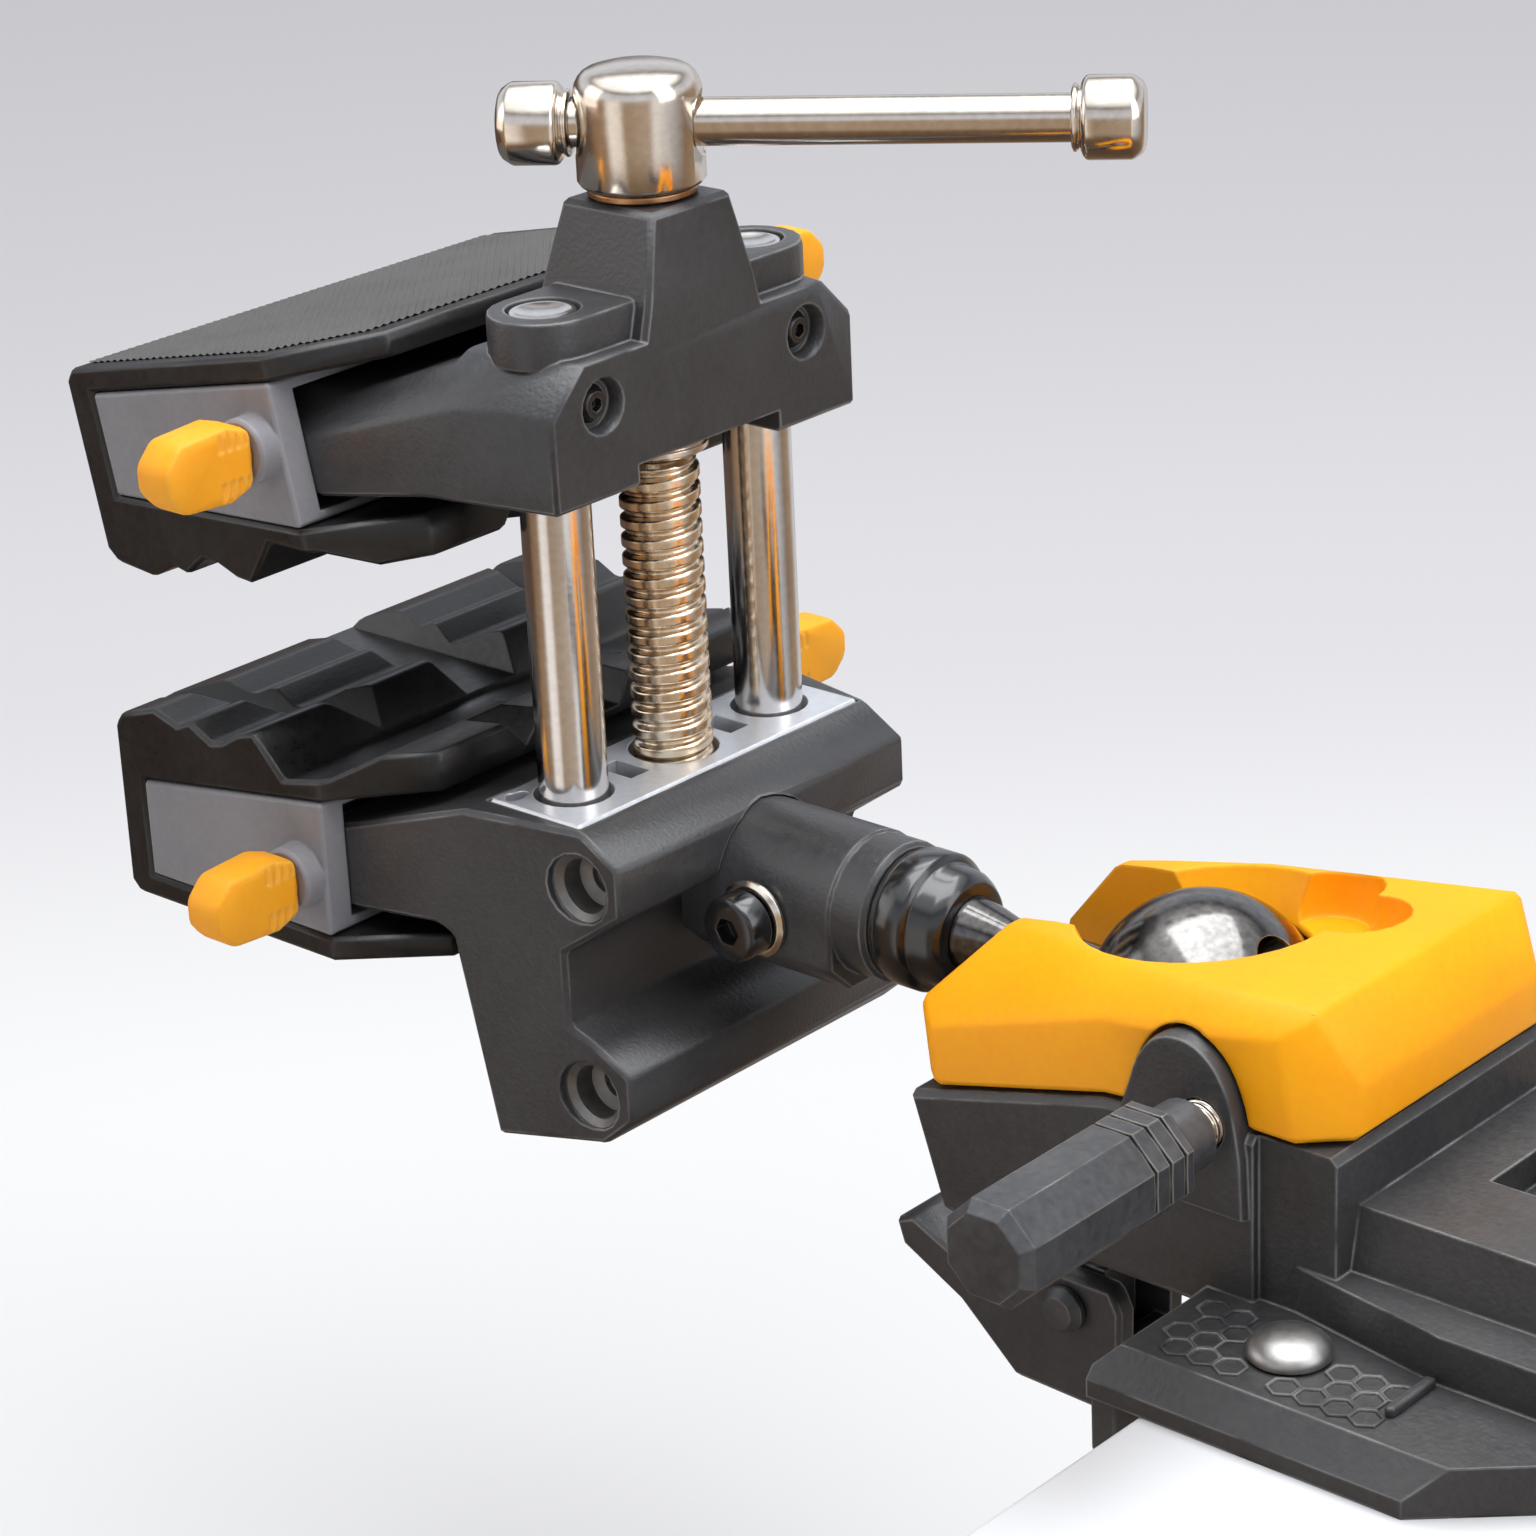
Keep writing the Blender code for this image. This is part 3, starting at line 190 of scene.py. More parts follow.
def tone_group():
    group, start, end = new_group(
        "tone_patches",
        [("Scale", "NodeSocketFloat", 40.0)],
        [("Value", "NodeSocketFloat")],
    )
    place = group.nodes.new("ShaderNodeTexCoord")
    large = group.nodes.new("ShaderNodeTexNoise")
    large.inputs["Detail"].default_value = 4.0
    small = group.nodes.new("ShaderNodeTexNoise")
    small.inputs["Scale"].default_value = FINE_SPECKS
    mixed = group.nodes.new("ShaderNodeMix")
    mixed.inputs["Factor"].default_value = SPECK_SHARE
    wire(
        group,
        [
            (place.outputs["Object"], large.inputs["Vector"]),
            (start.outputs["Scale"], large.inputs["Scale"]),
            (place.outputs["Object"], small.inputs["Vector"]),
            (large.outputs["Fac"], mixed.inputs["A"]),
            (small.outputs["Fac"], mixed.inputs["B"]),
            (mixed.outputs["Result"], end.inputs["Value"]),
        ],
    )
    return group


TONES = tone_group()
print("node group:", TONES.name, "with", len(TONES.nodes), "nodes")

# %% [markdown]
# ## One recipe for every finish
#
# Painted castings, rubber and bright metal differ in numbers more than in kind. One recipe
# serves them all: a base colour varied by soft patches, paler edges that are partly wear and
# partly a painted highlight, a grain bump and a roughness that follows the patches. Each could
# have its own node tree, at the cost of a script many times as long.

# %% The recipe
COAT_ROUGHNESS = 0.15


def surface(
    name, dark, light, worn_and_highlight_colour, rough,
    metallic=0.0, grain=900.0, bump=0.1, radius=0.8, coat=0.0, scale=40.0, ior=1.5,
):
    made = bpy.data.materials.new(name)
    made.use_nodes = True
    tree = made.node_tree
    shader = tree.nodes["Principled BSDF"]
    shader.inputs["Metallic"].default_value = metallic
    shader.inputs["Coat Weight"].default_value = coat
    shader.inputs["Coat Roughness"].default_value = COAT_ROUGHNESS
    shader.inputs["IOR"].default_value = ior
    edges = tree.nodes.new("ShaderNodeGroup")
    edges.node_tree = EDGES
    edges.inputs["Radius"].default_value = radius * MM
    edges.inputs["Grain"].default_value = grain
    edges.inputs["Bump"].default_value = bump
    tones = tree.nodes.new("ShaderNodeGroup")
    tones.node_tree = TONES
    tones.inputs["Scale"].default_value = scale
    spread = range_node(tree, 0.35, 0.65)
    body = tree.nodes.new("ShaderNodeMix")
    body.data_type = "RGBA"
    body.inputs["A"].default_value = (*dark, 1)
    body.inputs["B"].default_value = (*light, 1)
    # Paler edge colour: partly wear, partly a painted highlight.
    wear_and_highlight_mix = tree.nodes.new("ShaderNodeMix")
    wear_and_highlight_mix.data_type = "RGBA"
    wear_and_highlight_mix.inputs["B"].default_value = (*worn_and_highlight_colour, 1)
    polish = tree.nodes.new("ShaderNodeMapRange")
    polish.inputs["To Min"].default_value = rough[0]
    polish.inputs["To Max"].default_value = rough[1]
    link = tree.links.new
    link(tones.outputs["Value"], spread.inputs["Value"])
    link(spread.outputs["Result"], body.inputs["Factor"])
    link(body.outputs["Result"], wear_and_highlight_mix.inputs["A"])
    link(edges.outputs["Mask"], wear_and_highlight_mix.inputs["Factor"])
    link(wear_and_highlight_mix.outputs["Result"], shader.inputs["Base Color"])
    link(spread.outputs["Result"], polish.inputs["Value"])
    link(polish.outputs["Result"], shader.inputs["Roughness"])
    link(edges.outputs["Normal"], shader.inputs["Normal"])
    return made


print("coat roughness:", COAT_ROUGHNESS)

# %% [markdown]
# ## Castings, mouldings and rubber
#
# The body and base are dark powder-coated castings with a fine grain, the carriers are moulded
# in grey, and the pads are black rubber. The cap and the knobs are coloured plastic, whose low
# IOR keeps the white room from washing their colour out.

# %% Mix the coated and moulded finishes
# Each finish's third colour is its paler edge: partly wear, partly a painted highlight.
CAST = surface(
    "cast_dark", (0.034, 0.034, 0.037), (0.052, 0.051, 0.054), (0.3, 0.29, 0.28), (0.3, 0.44),
    grain=1300, bump=0.3, radius=0.7,
)
BASE = surface(
    "base_dark", (0.032, 0.032, 0.034), (0.052, 0.051, 0.052), (0.28, 0.275, 0.27), (0.36, 0.5),
    grain=1100, bump=0.34, radius=0.7,
)
GREY = surface(
    "moulded_grey", (0.215, 0.21, 0.226), (0.265, 0.255, 0.272), (0.3, 0.3, 0.32), (0.4, 0.5),
    grain=1500, bump=0.06,
)
RUBBER = surface(
    "pad_rubber", (0.009, 0.009, 0.01), (0.018, 0.017, 0.017), (0.09, 0.08, 0.075), (0.26, 0.42),
    grain=1100, bump=0.12, radius=0.6, ior=1.45,
)
ORANGE = surface(
    "knob_orange", (1.0, 0.36, 0.014), (1.0, 0.43, 0.022), (1.0, 0.54, 0.08), (0.4, 0.5),
    grain=1100, bump=0.1, radius=1.0, ior=1.33,
)
YELLOW = surface(
    "cap_yellow", (1.0, 0.36, 0.001), (1.0, 0.41, 0.002), (1.0, 0.52, 0.03), (0.42, 0.54),
    grain=900, bump=0.16, radius=0.9, ior=1.33,
)
print("finishes so far:", len(bpy.data.materials))

# %% [markdown]
# ## Bright and dark metals
#
# The bar and hub are warm nickel, the rods ground steel, and the ball dark polished steel. The
# guide plate is brushed alloy, so it is only partly metallic, which keeps it pale in the shade.

# %% Mix the metals
# Each finish's third colour is its paler edge: partly wear, partly a painted highlight.
NICKEL = surface(
    "nickel", (0.6, 0.53, 0.46), (0.75, 0.68, 0.6), (0.85, 0.8, 0.74), (0.12, 0.2),
    metallic=1.0, grain=1800, bump=0.02, radius=0.3,
)
STEEL = surface(
    "rod_steel", (0.6, 0.57, 0.55), (0.74, 0.72, 0.7), (0.8, 0.78, 0.76), (0.12, 0.2),
    metallic=1.0, grain=1800, bump=0.015, radius=0.3,
)
BALL_STEEL = surface(
    "ball_steel", (0.07, 0.066, 0.066), (0.22, 0.21, 0.2), (0.4, 0.4, 0.4), (0.08, 0.2),
    metallic=1.0, grain=700, bump=0.04, radius=0.3,
)
ALLOY = surface(
    "plate_alloy", (0.66, 0.68, 0.72), (0.8, 0.82, 0.86), (0.95, 0.96, 1.0), (0.3, 0.42),
    metallic=0.6, grain=1500, bump=0.03, radius=0.4,
)
BLACK = surface(
    "black_oxide", (0.008, 0.008, 0.009), (0.014, 0.014, 0.016), (0.1, 0.09, 0.08), (0.16, 0.26),
    grain=1200, bump=0.02, radius=0.4, coat=0.5,
)
BRONZE = surface(
    "bronze", (0.35, 0.17, 0.08), (0.55, 0.31, 0.16), (0.7, 0.45, 0.25), (0.25, 0.4),
    metallic=1.0, radius=0.3,
)
THREAD = surface(
    "thread_gilt", (0.66, 0.5, 0.33), (0.86, 0.76, 0.62), (0.9, 0.85, 0.78), (0.16, 0.3),
    metallic=1.0, grain=1500, bump=0.04, radius=0.25, scale=120.0,
)
DOME_STEEL = surface(
    "dome_steel", (0.3, 0.29, 0.28), (0.4, 0.39, 0.38), (0.6, 0.58, 0.56), (0.36, 0.46),
    metallic=1.0, grain=1500, bump=0.04, radius=0.3,
)
print("finishes so far:", len(bpy.data.materials))

# %% [markdown]
# ## Grip and knurl
#
# The grip and the lever's pin are oxidised steel, half dull. The knurled side of the pads is
# painted greyer than their rubber, as a painted sheen for the light that grazes their flat side.

# %% Mix the grip and knurl finishes
# Each finish's third colour is its paler edge: partly wear, partly a painted highlight.
GRIP = surface(
    "grip_oxide", (0.05, 0.051, 0.055), (0.09, 0.09, 0.094), (0.3, 0.28, 0.26), (0.32, 0.5),
    metallic=0.35, grain=900, bump=0.16, radius=0.5,
)
# Painted sheen: the knurl's colour is raised above the rubber's in place of grazing light.
KNURL_PAINTED_SHEEN = surface(
    "pad_knurl_painted_sheen", (0.042, 0.04, 0.04), (0.066, 0.062, 0.06), (0.1, 0.095, 0.09), (0.5, 0.62),
    grain=1100, bump=0.1, radius=0.2,
)
print("finishes so far:", len(bpy.data.materials))

# %% [markdown]
# ## Smooth rounds on the solids
#
# The solids are faceted. A small node modifier shades their rounds smoothly and keeps edges over
# a set angle crisp. The meshes could be edited instead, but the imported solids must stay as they
# are.

# %% Build the shading modifier
CRISP_EDGE = 35


def smooth_shading():
    """A geometry node tree that joins split points and marks the crisp edges."""
    tree = bpy.data.node_groups.new("smooth_by_angle", "GeometryNodeTree")
    tree.interface.new_socket("Geometry", in_out="INPUT", socket_type="NodeSocketGeometry")
    tree.interface.new_socket("Geometry", in_out="OUTPUT", socket_type="NodeSocketGeometry")
    start = tree.nodes.new("NodeGroupInput")
    end = tree.nodes.new("NodeGroupOutput")
    merge = tree.nodes.new("GeometryNodeMergeByDistance")
    merge.inputs["Distance"].default_value = 1e-6
    angle = tree.nodes.new("GeometryNodeInputMeshEdgeAngle")
    below = tree.nodes.new("FunctionNodeCompare")
    below.operation = "LESS_THAN"
    below.inputs["B"].default_value = math.radians(CRISP_EDGE)
    faces = tree.nodes.new("GeometryNodeSetShadeSmooth")
    faces.domain = "FACE"
    edges = tree.nodes.new("GeometryNodeSetShadeSmooth")
    edges.domain = "EDGE"
    link = tree.links.new
    link(start.outputs["Geometry"], merge.inputs["Geometry"])
    link(merge.outputs["Geometry"], faces.inputs["Geometry"])
    link(faces.outputs["Geometry"], edges.inputs["Geometry"])
    link(angle.outputs["Unsigned Angle"], below.inputs["A"])
    link(below.outputs["Result"], edges.inputs["Shade Smooth"])
    link(edges.outputs["Geometry"], end.inputs["Geometry"])
    return tree


SMOOTH = smooth_shading()
print("edges over", CRISP_EDGE, "degrees stay crisp")

# %% [markdown]
# ## Finish on the solids
#
# The record names a material slot for each piece. A table from slots to finishes dresses them
# all in one loop, and the two oxidised pieces are then set by name.

# %% Dress the solids
by_slot = {
    "base_dark": BASE,
    "cast_dark": CAST,
    "moulded_grey": GREY,
    "pad_rubber": RUBBER,
    "knob_orange": ORANGE,
    "cap_yellow": YELLOW,
    "nickel": NICKEL,
    "rod_steel": STEEL,
    "ball_steel": BALL_STEEL,
    "plate_alloy": ALLOY,
    "black_oxide": BLACK,
    "bronze": BRONZE,
}
for part in frame["record"]["subparts"]:
    solid = nodes[part["node"]]
    solid.data.materials.clear()
    solid.data.materials.append(by_slot[part["material_slot"]])
    shading = solid.modifiers.new("smooth", "NODES")
    shading.node_group = SMOOTH
nodes["clamp_grip"].data.materials[0] = GRIP
nodes["lever_pin"].data.materials[0] = GRIP

# %% [markdown]
# ## From a mesh to a piece
#
# Every finer piece goes through one function, which cleans the mesh, scales it to metres, gives
# it a finish, and lets it ride on its body. It also says which solids the piece stands for.
# Turned pieces are a profile spun about Z and then aimed along their own axis.

# %% Helpers for turned pieces
WELD = 1e-4


def to_object(bm, name, finish, body, stands_for=(), sharp=CRISP_EDGE):
    """The mesh as an object that rides on a body and stands for the solids named."""
    bmesh.ops.remove_doubles(bm, verts=bm.verts, dist=WELD)
    bmesh.ops.recalc_face_normals(bm, faces=bm.faces)
    bmesh.ops.scale(bm, verts=bm.verts, vec=(MM, MM, MM))
    mesh = bpy.data.meshes.new(name)
    bm.to_mesh(mesh)
    bm.free()
    mesh.shade_smooth()
    mesh.set_sharp_from_angle(angle=math.radians(sharp))
    obj = bpy.data.objects.new(name, mesh)
    bpy.context.scene.collection.objects.link(obj)
    mesh.materials.append(finish)
    if body:
        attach(obj, body)
    if stands_for:
        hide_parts(*stands_for)
    return obj


def spun(profile, rings=96, closed=False):
    """A profile of radius and height pairs, turned about Z."""
    bm = bmesh.new()
    line = [bm.verts.new((radius, 0, height)) for radius, height in profile]
    edges = [bm.edges.new(pair) for pair in zip(line, line[1:])]
    if closed:
        edges.append(bm.edges.new((line[-1], line[0])))
    bmesh.ops.spin(
        bm, geom=line + edges, cent=(0, 0, 0), axis=(0, 0, 1), angle=math.tau, steps=rings
    )
    bmesh.ops.remove_doubles(bm, verts=bm.verts, dist=WELD)
    return bm


def aimed(bm, direction, at):
    """The mesh with its Z axis turned to a direction and its origin moved to a place."""
    turn = Vector((0, 0, 1)).rotation_difference(Vector(direction)).to_matrix().to_4x4()
    bmesh.ops.transform(bm, matrix=Matrix.Translation(at) @ turn, verts=bm.verts)
    return bm


UP = (0, 0, 1)
print("points closer than", WELD, "mm are joined")

# %% [markdown]
# ## Lead screw
#
# The real spindle has a coarse rounded trapezoid thread. Here a grid of points goes round the
# spindle, and their radius follows the thread's profile, which climbs one pitch a turn. A screw
# modifier would also do, but its ends would need caps.

# %% Thread helper
ROOT_SHARE = 0.06
FLANK_SHARE = 0.22


def thread_step(phase):
    """How far out the flank stands at a share of one pitch, from 0 at the root to 1 at the crest."""
    rise = min(max((phase - ROOT_SHARE) / FLANK_SHARE, 0), 1)
    fall = min(max((1 - ROOT_SHARE - phase) / FLANK_SHARE, 0), 1)
    step = min(rise, fall)
    return step * step * (3 - 2 * step)


def threaded(bottom, top, root, crest, pitch, around=64, per_pitch=14):
    """A threaded rod along Z whose thread fades out at both ends."""
    bm = bmesh.new()
    count = int((top - bottom) / pitch * per_pitch)
    rows = []
    for level in range(count + 1):
        z = bottom + (top - bottom) * level / count
        fade = min((z - bottom) / 1.5, top - z, 1.0)
        row = []
        for turn in range(around):
            phase = (z / pitch - turn / around) % 1.0
            radius = root + (crest - root) * thread_step(phase) * fade
            angle = math.tau * turn / around
            row.append(bm.verts.new((radius * math.cos(angle), radius * math.sin(angle), z)))
        rows.append(row)
    for low, high in zip(rows, rows[1:]):
        for turn in range(around):
            after = (turn + 1) % around
            bm.faces.new((low[turn], low[after], high[after], high[turn]))
    bm.faces.new(list(reversed(rows[0])))
    bm.faces.new(rows[-1])
    return bm


print("thread at a sixth of a pitch stands at", round(thread_step(1 / 6), 2), "of its height")

# %% [markdown]
# ## The spindle and its plain shank
#
# The thread ends below the sliding body, and a plain shank runs on up to the hub. They are two
# pieces, since a mesh that changes from a grid to a spin would need a hand-made joint.

# %% Cut the lead screw
SPINDLE = hx(-12.5, 0)
SCREW_R = 7.0
THREAD_ROOT = 5.9
THREAD_TOP = 53.6
LOWER_END = -56.0
PITCH = 3.45
SHANK_R = 5.5
SHANK_TOP = 104.7

spindle = threaded(LOWER_END, THREAD_TOP, THREAD_ROOT, SCREW_R, PITCH)
screw_piece = to_object(
    aimed(spindle, UP, SPINDLE), "screw_thread", THREAD, "screw", ["lead_screw"], sharp=60
)
shank = [(0, THREAD_TOP - 1), (SHANK_R, THREAD_TOP - 1), (SHANK_R, SHANK_TOP), (0, SHANK_TOP)]
to_object(aimed(spun(shank), UP, SPINDLE), "screw_shank", NICKEL, "screw")
print("thread faces:", len(screw_piece.data.polygons))

# %% [markdown]
# ## Hub
#
# The hub is turned, with a domed top, and the bar passes through a flared hole in it. The hole
# is a Boolean cut. Its cutter is a child of the hub, so it follows the hub at every pose.

# %% Helper for cuts
def cut_away(obj, bm, name):
    """Cuts a hidden helper mesh out of an object. The helper moves with the object."""
    bmesh.ops.recalc_face_normals(bm, faces=bm.faces)
    bmesh.ops.scale(bm, verts=bm.verts, vec=(MM, MM, MM))
    mesh = bpy.data.meshes.new(name)
    bm.to_mesh(mesh)
    bm.free()
    tool = bpy.data.objects.new(name, mesh)
    tool.hide_render = True
    tool.hide_viewport = True
    bpy.context.scene.collection.objects.link(tool)
    tool.parent = obj
    step = obj.modifiers.new(name, "BOOLEAN")
    step.operation = "DIFFERENCE"
    step.solver = "EXACT"
    step.object = tool


# %% [markdown]
# ## Turning the hub
#
# The dome is an arc of five points between the straight wall and the flat top. The cutter for
# the hole is a spindle shape that widens at both mouths, which gives the flare in one cut.

# %% Turn the hub and cut its hole
BAR_TURN = math.radians(34.0)
BAR_AXIS = Vector((math.cos(BAR_TURN), math.sin(BAR_TURN), 0))
BAR_PLACE = SPINDLE + Vector((0, 0, 110.4))
HUB_R = 10.75
DOME_FOOT = 115.0
DOME_ROUND = 3.2
DOME_RISE = 4.6

hub_line = [(0, 100.3), (9.7, 100.3), (10.3, 100.6), (HUB_R, 101.3), (HUB_R, DOME_FOOT)]
for turn in (15, 30, 45, 60, 75):
    angle = math.radians(turn)
    radius = HUB_R - DOME_ROUND + DOME_ROUND * math.cos(angle)
    hub_line.append((radius, DOME_FOOT + DOME_RISE * math.sin(angle)))
hub_line += [(6.4, 120.0), (3.6, 120.45), (0, 120.6)]
hub_piece = to_object(
    aimed(spun(hub_line), UP, SPINDLE), "hub_turned", NICKEL, "screw", ["hub"], sharp=50
)
mouth = [(0, -12), (6.4, -12), (5.4, -10.2), (4.3, -9.2)]
mouth += [(radius, -height) for radius, height in reversed(mouth)]
cut_away(hub_piece, aimed(spun(mouth, 64), BAR_AXIS, BAR_PLACE), "hub_bar_hole")
print("hub is", 2 * HUB_R, "mm across")

# %% [markdown]
# ## Screw collar and thrust washer
#
# The collar holds the spindle up in the sliding body, and the bronze washer takes the hub's
# push. Both are rings, so their profiles are closed and leave the bore open.

# %% Turn the collar and the washer
BORE_R = 5.8
WASHER_LOW = 98.8
WASHER_HIGH = 100.0

collar = [(BORE_R, 54.5), (8.2, 54.5), (8.8, 55.0), (8.8, 55.9), (8.3, 56.2), (8.8, 56.5)]
collar += [(8.8, 57.7), (8.3, 58.2), (BORE_R, 58.2)]
collar_piece = aimed(spun(collar, closed=True), UP, SPINDLE)
to_object(collar_piece, "collar_turned", NICKEL, "screw", ["screw_collar"])
washer = [(BORE_R, WASHER_LOW), (9.0, WASHER_LOW), (9.2, WASHER_LOW + 0.2)]
washer += [(9.2, WASHER_HIGH - 0.2), (9.0, WASHER_HIGH), (BORE_R, WASHER_HIGH)]
washer_piece = aimed(spun(washer, closed=True), UP, SPINDLE)
to_object(washer_piece, "washer_turned", BRONZE, "screw", ["thrust_washer"])
print("washer is", round(WASHER_HIGH - WASHER_LOW, 2), "mm thick")

# %% [markdown]
# ## T-bar and caps
#
# The bar slides through the hub until a cap stops it. The caps are short turned cylinders with
# chamfered ends and a small bead at the neck. Both ends use one profile, aimed both ways.

# %% Turn the bar and its caps
BAR_LEFT = -23.2
BAR_RIGHT = 83.0
BAR_R = 4.0
BAR_IN_CAP = 3.2
CAP_LENGTH = 12.0

bar_length = BAR_RIGHT - BAR_LEFT - 2 * BAR_IN_CAP
bar_line = [(0, 0), (3.6, 0), (BAR_R, 0.4), (BAR_R, bar_length - 0.4), (3.6, bar_length)]
bar_line.append((0, bar_length))
bar_start = BAR_PLACE + BAR_AXIS * (BAR_LEFT + BAR_IN_CAP)
to_object(aimed(spun(bar_line), BAR_AXIS, bar_start), "bar_turned", NICKEL, "bar", ["t_bar"])
cap_line = [(0, 9.1), (4.3, 9.1), (4.3, 0), (4.9, 0), (5.5, 0.3), (5.6, 0.7), (5.2, 1.1)]
cap_line += [(4.9, 1.3), (6.2, 1.8), (6.75, 2.3), (6.9, 2.8), (6.9, 9.7), (6.7, 10.2)]
cap_line += [(5.9, 11.4), (5.3, 11.8), (4.6, CAP_LENGTH), (0, CAP_LENGTH)]
for side, way, end in (("left", -1, BAR_LEFT), ("right", 1, BAR_RIGHT)):
    place = BAR_PLACE + BAR_AXIS * (end - way * CAP_LENGTH)
    cap = aimed(spun(cap_line), BAR_AXIS * way, place)
    to_object(cap, f"bar_end_{side}", NICKEL, "bar", [f"bar_cap_{side}"])
print("bar without its caps:", round(bar_length, 1), "mm")

# %% [markdown]
# ## Guide rods
#
# Two ground rods guide the sliding body. Their upper ends are dished and show in the bosses, so
# the profile ends in a shallow bowl.

# %% Turn the rods
ROD_R = 6.0
ROD_Y = 25.0
ROD_TOP = 84.7

rod_line = [(0, LOWER_END), (5.2, LOWER_END), (ROD_R, LOWER_END + 0.8), (ROD_R, ROD_TOP - 0.8)]
rod_line += [(5.5, ROD_TOP - 0.1), (5.0, ROD_TOP), (4.7, ROD_TOP - 0.1), (3.2, ROD_TOP - 0.55)]
rod_line += [(1.6, ROD_TOP - 0.75), (0, ROD_TOP - 0.8)]
for side, sign in (("near", -1), ("far", 1)):
    rod = aimed(spun(rod_line), UP, SPINDLE + Vector((0, sign * ROD_Y, 0)))
    to_object(rod, f"rod_turned_{side}", STEEL, "slide", [f"guide_rod_{side}"])
print("rods are", ROD_TOP - LOWER_END, "mm long and", 2 * ROD_Y, "mm apart")

# %% [markdown]
# ## Ball and stem
#
# The ball is one piece with its stem, so it is spun as one profile. A round key hole is cut into
# its rear side. Joining a sphere to a cylinder would leave a seam at the neck.

# %% Turn the ball
BALL_R = 19.0
NECK_R = 5.6
BALL_STEPS = 60

leave = 180 - math.degrees(math.asin(NECK_R / BALL_R))
ball_line = []
for step in range(BALL_STEPS + 1):
    angle = math.radians(leave * step / BALL_STEPS)
    ball_line.append((BALL_R * math.sin(angle), -BALL_R * math.cos(angle)))
ball_line += [(4.8, 19.6), (4.4, 21.5), (4.4, 38.5), (6.4, 46.5), (6.4, 47.2), (4.4, 47.2)]
ball_line += [(4.4, 93.7), (3.9, 94.2), (0, 94.2)]
ball_piece = to_object(
    aimed(spun(ball_line, 128), (-1, 0, 0), BALL), "ball_turned", BALL_STEEL, "stud", ["ball_stud"]
)
print("ball and stem faces:", len(ball_piece.data.polygons))

# %% [markdown]
# ## The ball's key hole
#
# The hole leans to the rear and ends in a wide countersink. It is cut, because a spun profile
# can only hold what is round about its own axis.

# %% Cut the key hole
KEY_LEAN = math.radians(40)
KEY_DEPTH = 12.6

key_axis = Vector((math.cos(KEY_LEAN), 0, math.sin(KEY_LEAN)))
key = [(0, 0), (3.9, 0), (3.9, 5.4), (4.3, 6.2), (5.0, 9.0), (0, 9.0)]
cut_away(ball_piece, aimed(spun(key, 48), key_axis, BALL + key_axis * KEY_DEPTH), "ball_key_hole")
print("key hole starts", KEY_DEPTH, "mm from the ball's centre")

# %% [markdown]
# ## Stem collar
#
# A black stepped collar sits on the stem in front of the barrel. It is a closed ring.

# %% Turn the stem collar
COLLAR_BORE = 4.7

collar_line = [(COLLAR_BORE, 0), (11.2, 0), (11.8, 0.3), (12.0, 0.8), (12.0, 5.2), (11.7, 5.7)]
collar_line += [(10.6, 6.2), (10.3, 6.8), (10.1, 9.4), (9.6, 10.4), (8.6, 11.8), (8.2, 12.0)]
collar_line.append((COLLAR_BORE, 12.0))
stem_collar = aimed(spun(collar_line, closed=True), (1, 0, 0), hx(41.6, BALL.z - HEAD.z))
to_object(stem_collar, "collar_black", BLACK, "stud", ["stem_collar"])
print("stem collar bore:", 2 * COLLAR_BORE, "mm")

# %% [markdown]
# ## Bench lip
#
# The lip hangs over the bench's edge. In the solids it is a strip of its own, here it runs up to
# the flange, so that no seam shows. It is an outline extruded along Y and then rounded.

# %% Helpers for flat pieces
ROUND_OVER = 30


def extruded(outline, axis, low, high):
    """An outline across Y or Z, run along that axis from low to high."""
    bm = bmesh.new()
    if axis == "Y":
        corners = [(a, low, b) for a, b in outline]
    else:
        corners = [(a, b, low) for a, b in outline]
    face = bm.faces.new([bm.verts.new(corner) for corner in corners])
    run = bmesh.ops.extrude_face_region(bm, geom=[face])
    moved = [item for item in run["geom"] if isinstance(item, bmesh.types.BMVert)]
    step = Vector((0, 1, 0)) if axis == "Y" else Vector((0, 0, 1))
    bmesh.ops.translate(bm, verts=moved, vec=step * (high - low))
    bmesh.ops.recalc_face_normals(bm, faces=bm.faces)
    return bm


def rounded(obj, width):
    step = obj.modifiers.new("rounding", "BEVEL")
    step.width = width * MM
    step.segments = 3
    step.limit_method = "ANGLE"
    step.angle_limit = math.radians(ROUND_OVER)
    step.harden_normals = True


print("edges over", ROUND_OVER, "degrees get rounded")

# %% [markdown]
# ## Extruding the lip
#
# The lower front corner is chamfered in the outline. The other edges get a small round from the
# modifier.

# %% Extrude the lip
LIP_TOP = -0.02
LIP_FOOT = -10.0
LIP_HALF = 58.0
LIP_FRONT = BALL.x + 21.0
LIP_REAR = BALL.x + 25.6

lip_outline = [(LIP_FRONT, LIP_TOP), (LIP_REAR, LIP_TOP), (LIP_REAR, LIP_FOOT)]
lip_outline += [(LIP_FRONT + 0.6, LIP_FOOT), (LIP_FRONT, LIP_FOOT + 0.6)]
lip = extruded(lip_outline, "Y", -LIP_HALF, LIP_HALF)
rounded(to_object(lip, "lip_strip", BASE, "base", ["bench_lip"]), 0.4)
print("lip is", 2 * LIP_HALF, "mm wide")

# %% [markdown]
# ## Knurl on the jaws' flat side
#
# The flat side of each rubber pad is covered in small diamonds. The height field is made in the
# jaw block's own frame, where u runs to the rear, and raised points alternate with low ones. A
# bump map would be lighter, but real points catch the light along the jaw's edge.

# %% Helper for the knurl
PAD_FACE = 15.2
PAD_HALF = 48.5
KNURL_FRONT = -44.0
KNURL_REAR = 17.0
KNURL_CORNER = 4.0
CORNER_SLOPE = 0.875
KNURL_STEP = 0.9
KNURL_HIGH = 0.38
KNURL_LOW = 0.02


